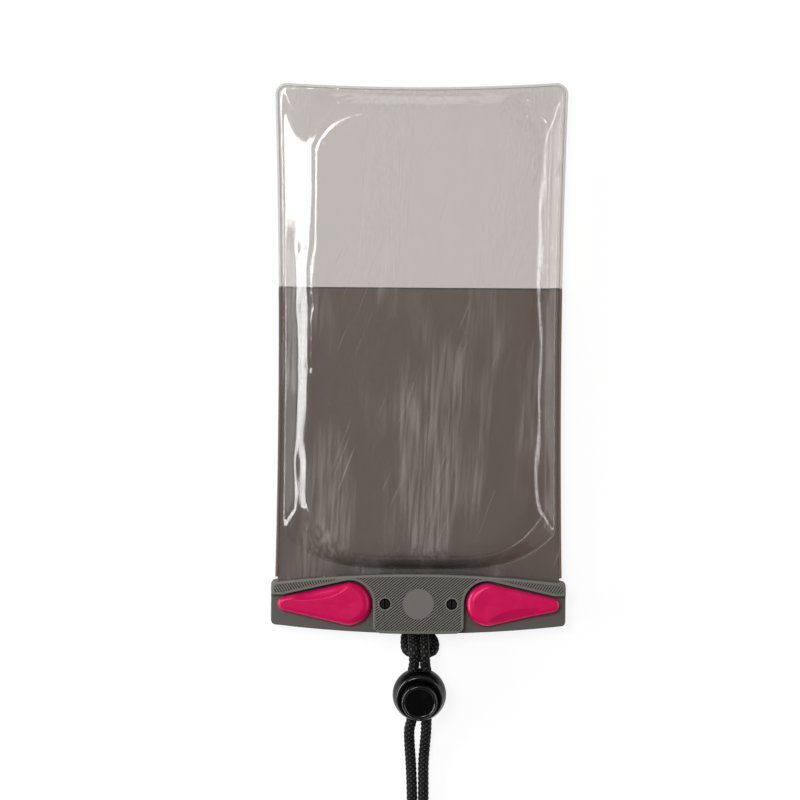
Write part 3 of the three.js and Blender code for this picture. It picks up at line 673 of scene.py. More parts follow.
@dataclass
class PouchFilms:
    """The two films, welded round three sides and puffed over the pocket, in millimetres.

    The top pinch and the foot pinch draw the pocket in at its corners, and the foot round gives it
    round lower corners. Each dimple is x, y, radius and depth, and each dent of the left shoulder
    is y, length and depth. The fold profile turns the way in from the rim into the way up.
    """

    waist_half: float = 51.0
    waist_y: float = 78.0
    top: float = 187.9
    top_sag: float = 1.8
    top_slant: float = 0.007
    top_flare: float = 2.05
    mouth_spread: float = 0.9
    corner: float = 4.5
    bead: float = 1.2
    gap: float = 0.3
    rim_width: float = 0.9
    mouth_end: float = -6.0
    flat_to: float = 12.5
    film: float = 0.4
    pocket_half: float = 38.6
    pocket_bottom: float = 20.5
    pocket_top: float = 177.0
    pocket_depth: float = 12.8
    back_z: float = 4.8
    front_z: float = 5.5
    tuck: float = 0.9
    top_pinch: float = 13.0
    foot_pinch: float = 15.0
    foot_round: float = 10.0
    sharp: float = 26.0  # of the shoulder where two sides meet
    level: float = 22.0  # of the shoulder where it reaches the flat
    early_bend: float = 0.65
    left_side_x: float = -36.0
    straight_from: float = 130.0
    calm_from: float = 112.0
    left_fold_x: float = -42.4
    right_fold_x: float = 44.5
    top_fold_y: float = 180.5
    foot_fold_y: float = 17.0
    bead_start: float = 9.2
    cells_across: int = 150
    cells_along: int = 250
    dimples: tuple[tuple[float, float, float, float], ...] = (
        (18.6, 179.6, 1.5, 0.7), (3.5, 180.2, 2.0, 0.4), (36.5, 180.5, 2.2, 0.6),
        (31.0, 178.4, 1.4, 0.4), (37.5, 17.0, 2.4, 0.4), (-35.0, 18.5, 3.0, 0.3))
    dents: tuple[Point, ...] = (
        (128.0, 3.5, 0.5), (106.0, 3.0, 0.35), (85.0, 1.6, 0.4), (50.0, 5.0, 0.5), (30.0, 6.0, 0.5))
    fold_profile: tuple[tuple[float, ...], tuple[float, ...]] = (
        (0.0, 0.43, 0.85, 1.0), (0.0, 0.615, 0.985, 1.0))
    shaft_hole: Point = (24.65, 4.9, 2.6)  # x, half length and half width
    peg_hole: tuple[float, float] = (12.0, 2.1)  # x and radius
    cord_notch: tuple[float, float] = (10.4, -1.9)  # half width and upper edge

    def half_width(self, y: np.ndarray) -> np.ndarray:
        """Returns half the pouch's width at a height along it."""
        upper = np.clip((y - self.waist_y) / (self.top - self.waist_y), 0, None)
        lower = np.clip((self.waist_y - y) / self.waist_y, 0, 1)
        return self.waist_half + self.top_flare * upper ** 2 + self.mouth_spread * lower ** 2

    def outline(self, u: np.ndarray, v: np.ndarray, inset: float) -> tuple[np.ndarray, np.ndarray]:
        """Maps the unit grid onto the pouch's outline.

        Args:
            u: Place across, -1 to 1.
            v: Place along, 0 to 1.
            inset: How far inside the outer edge of the bead the grid ends.

        Returns:
            The x and y of each point.
        """
        top = self.top - inset
        y = self.mouth_end + (top - self.mouth_end) * v
        x = u * (self.waist_half - inset)
        radius = self.corner - inset
        half = self.waist_half - inset
        a = np.clip((np.abs(x) - (half - radius)) / radius, 0, 1)
        b = np.clip((y - (top - radius)) / radius, 0, 1)
        x = np.where(a > 0, np.sign(x) * (half - radius + radius * a * np.sqrt(1 - b * b / 2)), x)
        y = np.where(b > 0, top - radius + radius * b * np.sqrt(1 - a * a / 2), y)
        wide = (self.half_width(y) - self.waist_half) / half
        high = np.clip((y - self.waist_y) / (self.top - self.waist_y), 0, None) ** 4
        hollow = self.top_sag * (1 - np.clip(np.abs(x) / half, 0, 1) ** 2)
        return x * (1 + wide), y - (hollow - self.top_slant * x) * high

    def shoulder(self, x: np.ndarray, y: np.ndarray) -> np.ndarray:
        """Returns 0 on the welded rim, 1 on the flat of the pocket, and a smooth way between."""
        inset = self.bead + self.gap + self.rim_width
        half = self.half_width(y) - inset
        sag = self.top_sag * (1 - np.clip(np.abs(x) / self.waist_half, 0, 1) ** 2)
        top = self.top - inset - sag
        corner = (np.abs(x) / self.pocket_half) ** 5
        pinch = (np.abs(x) / self.waist_half) ** 4
        side = (half - np.abs(x)) / (half - self.pocket_half)
        head = (top - y) / (top - self.pocket_top + self.top_pinch * corner)
        foot = y - self.flat_to - self.foot_pinch * pinch
        foot = foot / (self.pocket_bottom - self.flat_to + self.foot_round * corner)
        total = sum(np.exp(-self.sharp * np.clip(part, -2, 3)) for part in (side, head, foot))
        share = np.clip(-np.log(total) / self.sharp, 0, 3)
        total = np.exp(-self.level * share) + math.exp(-self.level)
        return np.clip(-np.log(total) / self.level, 0, 1)

    def swell(self, x: np.ndarray, y: np.ndarray, share: np.ndarray) -> np.ndarray:
        """Returns how far the front film has risen, 0 to 1.

        Args:
            x: Places across.
            y: Places along.
            share: How far in from the rim each place is, 0 to 1.

        Returns:
            A straight rise on the upper left, a folded one below it, and elsewhere an early bend.
        """
        upper = rising(y, self.straight_from, 4.0)
        left = rising(x, self.left_side_x, -1.5)
        early = share + self.early_bend * (share - share ** 2)
        sway = 0.04 * np.sin(y / 11.0)
        folded = np.interp(share - sway * np.sin(math.pi * share), *self.fold_profile)
        steady = upper * share + (1 - upper) * folded
        return early + left * (steady - early)

    def creases(self, x: np.ndarray, y: np.ndarray) -> np.ndarray:
        """Returns the dents and waves of the front film in millimetres."""
        waves = np.sin(y / 9.5 + 0.8 * np.sin(y / 23.0)) * 0.14 + np.sin(y / 4.1 + x / 6.0) * 0.05
        waves = waves * (1 - 0.5 * rising(y, self.calm_from, 4.0))
        loops = sum(deep * bell(y, at, long) for at, long, deep in self.dents)
        fold = bell(x, self.left_fold_x, 2.6) * (waves - loops)
        ripples = np.sin(y / 13.0 + 1.1) * 0.25 + np.sin(y / 5.3 + x / 3.0) * 0.12
        edge = bell(x, self.right_fold_x, 3.4) * ripples
        top = bell(y, self.top_fold_y, 3.0) * np.sin(x / 7.2 + 0.6) * 0.15
        mouth = bell(y, self.foot_fold_y, 5.0) * np.sin(x / 8.5 + 0.4) * 0.3
        marks = np.zeros_like(x)
        for at, along, size, depth in self.dimples:
            marks -= depth * np.exp(-((x - at) ** 2 + (y - along) ** 2) / size ** 2)
        return fold + edge + top + mouth + marks

    def height(self, face: Face) -> Height:
        """Returns the function that gives the film's middle surface at a place."""
        def front(x: np.ndarray, y: np.ndarray) -> np.ndarray:
            """Returns the height of the front film."""
            share = self.shoulder(x, y)
            rise = self.pocket_depth + self.film - self.front_z
            lift = rise * self.swell(x, y, share)
            wave = 0.18 * np.sin(x / 17.0 + y / 40.0) * share ** 2
            dents = self.creases(x, y) * np.clip(share * 4, 0, 1)
            return self.front_z + self.film / 2 + lift + wave + dents

        def back(x: np.ndarray, y: np.ndarray) -> np.ndarray:
            """Returns the height of the back film, which lies flat under the pocket."""
            share = np.clip(self.shoulder(x, y) * 2.6, 0, 1)
            drop = self.back_z * (1 - (1 - share) ** 1.7)
            return self.back_z + self.film / 2 - drop

        return front if face is Face.FRONT else back

    def holes(self, x: np.ndarray, y: np.ndarray) -> np.ndarray:
        """Returns where the films are cut away in the clip for shafts, pegs and the lanyard bar."""
        at, long, wide = self.shaft_hole
        shaft = (np.abs(np.abs(x) - at) < long) & (np.abs(y) < wide)
        peg = np.hypot(np.abs(x) - self.peg_hole[0], y) < self.peg_hole[1]
        notch = (np.abs(x) < self.cord_notch[0]) & (y < self.cord_notch[1])
        return shaft | peg | notch

    def sheet(self, name: str, face: Face, low: float, high: float) -> bpy.types.Object:
        """Adds one film as a thin closed skin.

        Args:
            name: Its name.
            face: Front or back film.
            low: Where it starts along the pouch.
            high: Where it ends.

        Returns:
            The solidified sheet.
        """
        across, along = self.cells_across, self.cells_along
        u, v = np.meshgrid(np.linspace(-1, 1, across + 1), np.linspace(0, 1, along + 1))
        length = self.top - self.tuck - self.mouth_end
        first = max(0.0, (low - self.mouth_end) / length)
        last = min(1.0, (high - self.mouth_end) / length)
        v = first + (last - first) * v
        x, y = self.outline(u, v, self.tuck)
        z = self.height(face)(x, y)
        points = np.stack([x, y, z], axis=-1).reshape(-1, 3)
        centre_x = (x[1:, 1:] + x[:-1, :-1]) / 2
        centre_y = (y[1:, 1:] + y[:-1, :-1]) / 2
        solid = ~self.holes(centre_x, centre_y)
        row = across + 1
        faces = [(j * row + i, j * row + i + 1, (j + 1) * row + i + 1, (j + 1) * row + i)
                 for j in range(along) for i in range(across) if solid[j, i]]
        piece = add_mesh(name, points.tolist(), faces)
        made = bmesh.new()
        made.from_mesh(piece.data)
        bmesh.ops.delete(made, geom=[p for p in made.verts if not p.link_faces], context="VERTS")
        made.to_mesh(piece.data)
        made.free()
        skin = piece.modifiers.new("skin", "SOLIDIFY")
        skin.thickness = self.film * MM
        skin.offset = 0
        apply_modifiers(piece)
        smooth(piece, 60)
        return piece

    def rim_bead(self) -> bpy.types.Object:
        """Returns the thick bead round the welded edge, from clip to clip."""
        radius = self.bead / 2
        steps = 160
        inset = radius
        start = (self.bead_start - self.mouth_end) / (self.top - inset - self.mouth_end)
        side = np.linspace(start, 1, steps)
        top = np.linspace(1, -1, steps)
        u = np.concatenate([np.ones(steps), top[1:-1], -np.ones(steps)])
        v = np.concatenate([side, np.ones(steps - 2), side[::-1]])
        x, y = self.outline(u, v, inset)
        z = np.full_like(x, (self.back_z + self.front_z + self.film) / 2)
        return swept("bead", np.stack([x, y, z], axis=-1), radius, 12)

    def build(self) -> None:
        """Makes and dresses the films and their bead."""
        front = self.sheet("pouch_front", Face.FRONT, self.mouth_end, self.top)
        dress(front, CLEAR_FILM, Body.ROOT, "front_film")
        window = self.sheet("pouch_window", Face.BACK, TINT_TOP, self.top)
        dress(window, BACK_FILM, Body.ROOT, "back_window")
        panel = self.sheet("pouch_back", Face.BACK, self.mouth_end, TINT_TOP)
        dress(panel, SMOKE_FILM, Body.ROOT, "back_panel")
        dress(self.rim_bead(), BEAD_FILM, Body.ROOT, "rim_bead")


def braid(around: np.ndarray, along: np.ndarray, plaits: int = 6,
          pitch: float = 1.75) -> np.ndarray:
    """Returns the relief of a braid.

    Args:
        around: Place round the cord, 0 to 1.
        along: Place along it in millimetres.
        plaits: Plaits of each hand.
        pitch: Distance along the cord from one plait to the next.

    Returns:
        0 between the plaits to 1 on their crowns, over and under in turn.
    """
    right = around * plaits + along / pitch
    left = around * plaits - along / pitch
    over = (np.floor(right) + np.floor(left)) % 2
    cross = np.where(over > 0, right, left) % 1.0
    length = np.where(over > 0, left, right) % 1.0
    return np.sin(math.pi * cross) ** 0.7 * (0.55 + 0.45 * np.sin(math.pi * length))


def swept(name: str, path: np.ndarray, radius: float, sides: int,
          relief: float = 0.0) -> bpy.types.Object:
    """Adds a round tube with closed ends along a path.

    Args:
        name: Its name.
        path: Points in millimetres, close enough together for its bends.
        radius: The tube's radius.
        sides: Faces round it.
        relief: How deep its braid is, in millimetres.

    Returns:
        The mesh, with a UV map named cord: U once round it, V along it in millimetres.
    """
    tangent = np.gradient(path, axis=0)
    tangent /= np.linalg.norm(tangent, axis=1)[:, None]
    side = np.cross(tangent[0], (0, 0, 1.0))
    side /= np.linalg.norm(side)
    run = np.concatenate([[0], np.cumsum(np.linalg.norm(np.diff(path, axis=0), axis=1))])
    rings = len(path)
    angle = 2 * math.pi * np.arange(sides) / sides
    weave = np.ones((rings, sides))
    if relief:
        weave = braid(np.arange(sides)[None, :] / sides, run[:, None])
    reach = radius + relief * (weave - 0.5)
    ring_points = []
    for k, (centre, ahead) in enumerate(zip(path, tangent)):
        side = side - ahead * np.dot(side, ahead)
        side /= np.linalg.norm(side)
        up = np.cross(ahead, side)
        round_it = np.cos(angle)[:, None] * side + np.sin(angle)[:, None] * up
        ring_points.append(centre + reach[k][:, None] * round_it)
    points = np.concatenate(ring_points).tolist()
    faces = []
    for k in range(rings - 1):
        for i in range(sides):
            j = (i + 1) % sides
            faces.append((k * sides + i, k * sides + j, (k + 1) * sides + j, (k + 1) * sides + i))
    last = (rings - 1) * sides
    faces.append(tuple(range(sides))[::-1])
    faces.append(tuple(last + i for i in range(sides)))
    piece = add_mesh(name, points, faces)
    if relief:
        shade = piece.data.attributes.new("relief", "FLOAT", "POINT")
        shade.data.foreach_set("value", weave.ravel().astype(np.float32))
    layer = piece.data.uv_layers.new(name="cord")
    for face in piece.data.polygons[:-2]:
        ring, around = divmod(face.index, sides)
        for loop, (du, dv) in zip(face.loop_indices, ((0, 0), (1, 0), (1, 1), (0, 1))):
            layer.data[loop].uv = ((around + du) / sides, run[ring + dv])
    made = bmesh.new()
    made.from_mesh(piece.data)
    bmesh.ops.recalc_face_normals(made, faces=made.faces)
    made.to_mesh(piece.data)
    made.free()
    smooth(piece, 60)
    return piece


# Clip


@dataclass
class Clip:
    """The two jaws, their guide pegs, and the levers with their shafts, in millimetres.

    The crease is the line beside which a lever is scooped out: its distance from the middle at the
    tip, what it has more at the pivot, and how fast it draws in. The ball is where the tip's round
    form starts along the lever, and how long that takes.
    """

    pivot_x: float = 24.65
    lever_z: float = 9.5
    head: float = 7.75
    tip: float = 2.6
    span: float = 23.3
    thickness: float = 4.2
    edge: float = 1.7
    heel_edge: float = 3.2
    plate_half: float = 16.2
    plate_corner: float = 2.2
    deck_top: float = 9.2
    scoop: float = 1.15
    facet: float = 0.4
    crease: Point = (0.9, 6.2, 5.2)
    ball: tuple[float, float] = (16.5, 4.0)
    hollow: float = 0.18
    hollow_radius: float = 6.5
    bore: float = 2.5
    bore_depth: float = 2.6

    def jaws(self) -> None:
        """Shades the jaws, the pegs and the shafts from their solids."""
        for node, name, finish, body in (
            ("rear_jaw", "clip_rear_jaw", JAW_GREY, Body.ROOT),
            ("front_jaw", "clip_front_jaw", PLATE_GREY, Body.FRONT_JAW),
            ("left_peg", "clip_left_peg", PEG_BLACK, Body.ROOT),
            ("right_peg", "clip_right_peg", PEG_BLACK, Body.ROOT),
            ("left_shaft", "clip_left_shaft", LEVER_PINK, Body.LEFT_LEVER),
            ("right_shaft", "clip_right_shaft", LEVER_PINK, Body.RIGHT_LEVER),
        ):
            piece = copy_node(node, name)
            if node == "front_jaw":
                self.round_plate(piece)
            smooth(piece, 32)
            dress(piece, finish, body, node)

    def round_plate(self, piece: bpy.types.Object) -> None:
        """Rounds the two lower corners of the raised plate, down to the deck."""
        for side in (-1, 1):
            wall = [v.co.y / MM for v in piece.data.vertices
                    if abs(v.co.x / MM - side * self.plate_half) < 0.4
                    and v.co.z / MM > self.deck_top + 1]
            low, radius, spare = min(wall), self.plate_corner, 1.5
            middle = self.plate_half - radius
            ring = [(middle, low - spare), (self.plate_half + spare, low - spare),
                    (self.plate_half + spare, low + radius)]
            ring += [(middle + radius * math.cos(a), low + radius - radius * math.sin(a))
                     for a in np.linspace(0, math.pi / 2, 9)]
            ring = [(side * x, y) for x, y in ring][::side]
            near, far = ([(x, y, z) for x, y in ring] for z in (self.deck_top, self.deck_top + 5))
            carve(piece, prism("plate_corner", near, far))

    def lever_ring(self, share: float, steps: int) -> tuple[np.ndarray, np.ndarray, np.ndarray]:
        """Traces the lever's outline, pulled in towards the line from its pivot to its tip.

        Args:
            share: How far the loop is pulled in, 0 to 1.
            steps: Points round the back of the head.

        Returns:
            The loop's x and y, and how far each point lies inside the edge.
        """
        side = math.acos((self.head - self.tip) / self.span)
        back = np.linspace(side, 2 * math.pi - side, steps)
        front = np.linspace(-side, side, steps // 3)
        along = np.linspace(0, 1, steps // 2 + 2)[1:-1]
        radius = self.head + (self.tip - self.head) * along
        kept = 1 - share
        flank_x = self.span * along + radius * kept * math.cos(side)
        flank_y = radius * kept * math.sin(side)
        x = np.concatenate([self.head * np.cos(back) * kept, flank_x,
                            self.span + self.tip * kept * np.cos(front), flank_x[::-1]])
        y = np.concatenate([self.head * np.sin(back) * kept, -flank_y,
                            self.tip * kept * np.sin(front), flank_y[::-1]])
        wide = np.concatenate([np.full_like(back, self.head), radius,
                               np.full_like(front, self.tip), radius[::-1]])
        return x, y, wide * share

    def lever_top(self, x: np.ndarray, y: np.ndarray, inside: np.ndarray) -> np.ndarray:
        """Sculpts the upper face: a rounded edge, a scoop along one flank, a facet on the other.

        Args:
            x: Places along the arm, from the pivot.
            y: Places across it.
            inside: How far each place lies inside the edge.

        Returns:
            The height of each place above the lever's underside.
        """
        heel = np.clip((2.0 - x) / 6, 0, 1)
        edge = self.edge + (self.heel_edge - self.edge) * heel ** 2 * (3 - 2 * heel)
        outside = np.clip(edge - inside, 0, None)
        round_off = edge - np.sqrt(np.clip(edge ** 2 - outside ** 2, 0, None))
        ahead = np.clip(x, 0, None)
        half = self.head + (self.tip - self.head) * ahead / self.span
        near, more, run = self.crease
        crease = near + more * np.exp(-ahead / run)
        wide = half - crease
        flank = np.clip((-y - crease) / np.clip(wide, 0.3, None), 0, 1)
        scoop = self.scoop * np.clip(wide / 3, 0, 1) * (1 - (1 - flank) ** 2) * (x > 0)
        line = self.head - 0.5 - 0.45 * ahead
        other = np.clip((y - line) / 3.0, 0, 1)
        facet = self.facet * other * np.exp(-((ahead - 4) / 6) ** 2) * (x > 0)
        ball = np.clip((x - self.ball[0]) / self.ball[1], 0, 1)
        hollow = self.hollow * np.clip(1 - np.hypot(x, y) / self.hollow_radius, 0, 1) ** 2
        arm = 1 - ball ** 2 * (3 - 2 * ball)
        return self.thickness - round_off - (scoop + facet) * arm - hollow

    def lever(self, name: str, side: int) -> bpy.types.Object:
        """Adds a lever.

        Args:
            name: Its name.
            side: 1 for the right one, -1 for the left one, turned half round.

        Returns:
            The sculpted lever: rounded edges, a scooped flank and a ball tip.
        """
        shares = [0.0, 0.0, 0.004, 0.012, 0.025, 0.045, 0.07, 0.1, 0.135]
        shares += np.linspace(0.17, 0.97, 26).tolist()
        points: list[Point] = []
        for k, share in enumerate(shares):
            x, y, inside = self.lever_ring(share, 96)
            z = self.lever_top(x, y, inside) if k else np.zeros_like(x)
            points.extend(zip(x.tolist(), y.tolist(), (z + self.lever_z).tolist()))
        count = len(points) // len(shares)
        faces = [(k + i, k + (i + 1) % count, k + count + (i + 1) % count, k + count + i)
                 for k in range(0, (len(shares) - 1) * count, count) for i in range(count)]
        faces.append(tuple(range(count))[::-1])
        last = (len(shares) - 1) * count
        faces.append(tuple(last + i for i in range(count)))
        placed = [(side * (self.pivot_x + x), side * y, z) for x, y, z in points]
        piece = add_mesh(name, placed, faces)
        low, high = self.lever_z - 1, self.lever_z + self.bore_depth
        bore = turned("bore", [(0, low), (self.bore, low), (self.bore, high), (0, high)], 32)
        bore.data.transform(Matrix.Translation((side * self.pivot_x * MM, 0, 0)))
        carve(piece, bore)
        smooth(piece, 50)
        return piece

    def build(self) -> None:
        """Makes and dresses every piece of the clip."""
        self.jaws()
        dress(self.lever("clip_left_lever", -1), LEVER_PINK, Body.LEFT_LEVER, "left_lever")
        dress(self.lever("clip_right_lever", 1), LEVER_PINK, Body.RIGHT_LEVER, "right_lever")


# Neck cord and its lock


def spline(points: Sequence[Sequence[float]], step: float) -> np.ndarray:
    """Returns points about a step apart on a smooth curve through the given ones."""
    knots = np.array(points, float)
    padded = np.vstack([2 * knots[0] - knots[1], knots, 2 * knots[-1] - knots[-2]])
    out: list[np.ndarray] = []
    for i in range(1, len(padded) - 2):
        p0, p1, p2, p3 = padded[i - 1:i + 3]
        count = max(2, int(np.linalg.norm(p2 - p1) / step))
        for t in np.linspace(0, 1, count, endpoint=False):
            out.append(0.5 * (2 * p1 + (p2 - p0) * t + (2 * p0 - 5 * p1 + 4 * p2 - p3) * t ** 2
                              + (3 * p1 - p0 - 3 * p2 + p3) * t ** 3))
    out.append(knots[-1])
    return np.array(out)


@dataclass
class NeckCord:
    """A loop of braided cord, in millimetres.

    A cow hitch holds it to the clip, two strands run through the lock, and the rest is coiled.
    """

    diameter: float = 3.7
    coil: tuple[float, float] = (25.3, -103.0)
    inner_turn: float = 14.0
    outer_turn: float = 27.0
    lower_turns: float = 3.5
    upper_turns: float = 3.0
    bar_top: float = 6.6
    slot_front: float = -7.8
    slot_middle: float = -5.65
    hitch_end: float = -20.6
    lock_strand: float = 2.6
    relief: float = 0.3
    drift: float = 0.6

    @property
    def strand(self) -> float:
        """Half the distance between the two strands."""
        return (self.diameter + 0.1) / 2

    @property
    def floor(self) -> float:
        """Height of the cord's middle where it lies on the floor."""
        return self.diameter / 2 + 0.05

    def slope(self, y: float) -> float:
        """Returns the strands' height on their straight way through the lock."""
        return LOCK_CENTRE[2] + (y - LOCK_CENTRE[1]) * math.tan(LOCK_LEAN)

    def wrap(self, side: int) -> list[Point]:
        """Returns one side of the hitch, from the strand over the bar and back under it."""
        over = self.bar_top + 0.3 + self.diameter / 2
        route = [
            (self.hitch_end, self.slope(self.hitch_end), self.strand + side * self.drift),
            (-16.5, self.slope(-16.5) - 0.1, self.strand + side * self.drift * 0.6),
            (-12.4, 9.3, self.strand + side * self.drift * 0.2),
            (-9.8, over, self.strand),
            (-8.0, over, self.strand),
            (self.slot_front + 1.5, over - 0.65, self.strand),
            (self.slot_middle, self.bar_top, self.strand + 0.1),
            (self.slot_middle, 4.6, self.strand + 0.3),
            (self.slot_front + 1.5, 2.6, self.strand + 0.5),
            (-7.9, self.floor, self.strand + 1.1),
            (-9.8, self.floor, self.strand + 1.7),
            (-11.8, self.floor + 0.2, self.strand + 2.3),
        ]
        return [(side * x, y, z) for y, z, x in route]

    def hitch(self) -> bpy.types.Object:
        """Returns the cow hitch round the lanyard bar."""
        bight = [(-4.4, -14.6, 3.2), (-3.6, -17.2, 5.2), (0.7, -17.9, 6.0), (5.0, -17.4, 5.2),
                 (5.8, -14.6, 3.2)]
        route = self.wrap(-1) + bight + self.wrap(1)[::-1]
        return swept("lanyard_knot", spline(route, 0.42), self.diameter / 2, 30, self.relief)

    def strand_route(self, side: int) -> list[Point]:
        """Returns a strand from the hitch through the lock to the floor beside the coil."""
        x = LOCK_CENTRE[0] + side * self.lock_strand
        start = self.hitch_end - 0.3
        near = side * self.strand + self.drift
        shared = [(near, start, self.slope(start)), (near + side * 0.15, -22, self.slope(-22)),
                  (x, -26, self.slope(-26)), (x, *LOCK_CENTRE[1:]), (x, -41, self.slope(-41))]
        low = self.floor
        if side < 0:
            return shared + [(x - 0.9, -45.5, 5.9), (-2.8, -51, 3.4), (-2.3, -58, low),
                             (-1.9, -66, low), (-1.7, -74, low), (-1.7, -81, low),
                             (-1.7, -87.9, low)]
        return shared + [(x - 0.1, -46.5, 5.4), (2.7, -52, 3), (2.3, -58, low), (2.3, -66, low),
                         (2.3, -71, low), (2.2, -76, 2.7), (2.2, -82.4, 4.4)]

    def layer(self, turns: float, z: float) -> list[Point]:
        """Winds one flat layer of the coil.

        Args:
            turns: How many turns it has.
            z: Height of the cord's middle.

        Returns:
            Points from the left side of the outer turn, anticlockwise and inwards.
        """
        per_turn = 24
        steps = round(turns * per_turn)
        points = []
        for i in range(steps + 1):
            angle = math.pi + 2 * math.pi * i / per_turn
            wound = max(0.0, i - per_turn / 4) / (steps - per_turn / 4)
            radius = self.outer_turn - (self.outer_turn - self.inner_turn) * wound
            points.append((self.coil[0] + radius * math.cos(angle),
                           self.coil[1] + radius * math.sin(angle), z))
        return points

    def turn_back(self, upper: float) -> list[Point]:
        """Returns the S-bend through the coil's middle, from one layer up to the next."""
        half = self.inner_turn / 2
        points = []
        for i in range(1, 24):
            angle = math.pi * i / 12
            side = 1 if i < 12 else -1
            x = self.coil[0] + side * half + half * math.cos(angle) * side
            y = self.coil[1] + half * math.sin(angle)
            points.append((x, y, self.floor + (upper - self.floor) * min(1.0, i / 20)))
        return points

    def route(self) -> list[Point]:
        """Returns the whole loop, from the left end of the hitch round to its right end."""
        upper = self.floor + self.diameter + 0.1
        return [*self.strand_route(-1)[:-1], *self.layer(self.lower_turns, self.floor),
                *self.turn_back(upper), *self.layer(self.upper_turns, upper)[::-1],
                *self.strand_route(1)[::-1]]

    def build(self, with_pieces: list[bpy.types.Object]) -> None:
        """Args:
            with_pieces: The pieces of the lock, which sit on the cord; not used.
        """
        hitch = dress(self.hitch(), CORD_BLACK, Body.ROOT, "lanyard_hitch")
        path = spline(self.route(), 0.45)
        cord = swept("lanyard_cord", path, self.diameter / 2, 30, self.relief)
        dress(cord, CORD_BLACK, Body.ROOT, "lanyard_left_strand", "lanyard_right_strand",
              "lanyard_coil")


@dataclass
class CordLock:
    """A ball lock with a push button, leaning a little towards the free end of the cord.

    Sizes are in millimetres, and heights are taken from the ball's centre.
    """

    ball: float = 9.65
    rim: float = 5.2
    button: float = 6.4
    button_top: float = 9.2
    stem: float = 5.7
    travel: float = 2.5
    clearance: float = 0.3
    spring_radius: float = 3.1
    spring_wire: float = 0.5
    pocket_floor: float = -8.4
    stem_end: float = -3.65
    hole_half: float = 4.85
    hole_reach: float = 2.25
    hole_corner: float = 1.6
    hole_run: float = 20.0  # of its cutter, each way from the middle

    @property
    def spring_ends(self) -> tuple[float, float]:
        """Heights of the spring's lower and upper end, from the ball's centre."""
        return self.pocket_floor + self.clearance, self.stem_end - self.clearance

    def place(self, piece: bpy.types.Object) -> bpy.types.Object:
        """Leans a piece that was made about the ball's centre, and moves it there."""
        shift = Matrix.Translation(Vector(LOCK_CENTRE) * MM)
        piece.data.transform(shift @ Matrix.Rotation(LOCK_LEAN, 4, "X"))
        return piece

    def hole(self, height: float) -> bpy.types.Object:
        """Returns a cutter for the cord hole, from its lower edge to a height."""
        corner = self.hole_corner
        wide, low, high = self.hole_half - corner, corner - self.hole_reach, height - corner
        ring: list[tuple[float, float]] = []
        for cx, cz, start in ((wide, low, -90), (wide, high, 0), (-wide, high, 90),
                              (-wide, low, 180)):
            for i in range(7):
                angle = math.radians(start + 15 * i)
                ring.append((cx + corner * math.cos(angle), cz + corner * math.sin(angle)))
        near, far = ([(x, y, z) for x, z in ring] for y in (-self.hole_run, self.hole_run))
        return prism("hole", near, far)

    def housing(self) -> bpy.types.Object:
        """Returns the ball with its bore, button seat and cord hole."""
        lean = math.asin(self.rim / self.ball)
        floor = self.stem_end - self.travel - self.clearance
        seat = self.rim - 2 * self.clearance - self.travel
        outside = [(0.0, -self.ball)]
        outside += [(self.ball * math.cos(a), self.ball * math.sin(a))
                    for a in np.linspace(-1.5, lean - 0.07, 34)]
        rim = math.cos(lean) * self.ball
        inner = self.button + self.clearance
        profile = outside + [
            (rim + 0.2, self.rim - 0.38), (rim, self.rim - 0.17), (rim - 0.22, self.rim - 0.05),
            (rim - 0.5, self.rim), (inner + 0.3, self.rim), (inner, self.rim - 0.3),
            (inner, seat), (self.stem + self.clearance, seat), (self.stem + self.clearance, floor),
            (self.spring_radius + self.spring_wire, floor),
            (self.spring_radius + self.spring_wire, self.pocket_floor), (0, self.pocket_floor)]
        piece = turned("lock_ball", profile, 72)
        carve(piece, self.hole(self.hole_reach))
        smooth(piece, 35)
        return self.place(piece)

    def button_piece(self) -> bpy.types.Object:
        """Returns the push button with its stem and cord hole."""
        top = self.button_top
        edge = self.button
        low = self.rim - self.clearance
        foot = self.stem_end
        profile = [(0, foot), (self.stem - 0.2, foot), (self.stem, foot + 0.2), (self.stem, low),
                   (edge - 0.15, low), (edge, low + 0.15), (edge, top - 0.75),
                   (edge - 0.08, top - 0.4), (edge - 0.3, top - 0.12), (edge - 0.55, top),
                   (edge - 0.8, top - 0.02), (edge - 1.05, top - 0.3), (edge - 1.25, top - 0.38),
                   (3.0, top - 0.24), (1.2, top - 0.18), (0, top - 0.175)]
        piece = turned("lock_push_button", profile, 72)
        carve(piece, self.hole(self.hole_reach + self.travel))
        smooth(piece, 35)
        return self.place(piece)

    def spring(self) -> bpy.types.Object:
        """Returns the coil spring under the button's stem."""
        low = self.spring_ends[0] + self.spring_wire / 2
        high = self.spring_ends[1] - self.spring_wire / 2
        turn = np.linspace(0, 3 * 2 * math.pi, 110)
        rise = low + (high - low) * turn / turn[-1]
        round_x, round_y = self.spring_radius * np.cos(turn), self.spring_radius * np.sin(turn)
        path = np.stack([round_x, round_y, rise], axis=-1)
        return self.place(swept("lock_coil_spring", path, self.spring_wire / 2, 10))

    def build(self) -> list[bpy.types.Object]:
        """Makes and dresses the lock.

        Returns:
            Its pieces, which the cord carries.
        """
        housing = dress(self.housing(), LOCK_BLACK, Body.ROOT, "lock_housing")
        button = dress(self.button_piece(), LOCK_BLACK, Body.LOCK_BUTTON, "lock_button")
        spring = dress(self.spring(), SPRING_STEEL, Body.ROOT, "lock_spring")
        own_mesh(spring)
        return [housing, button, spring]


# Studio


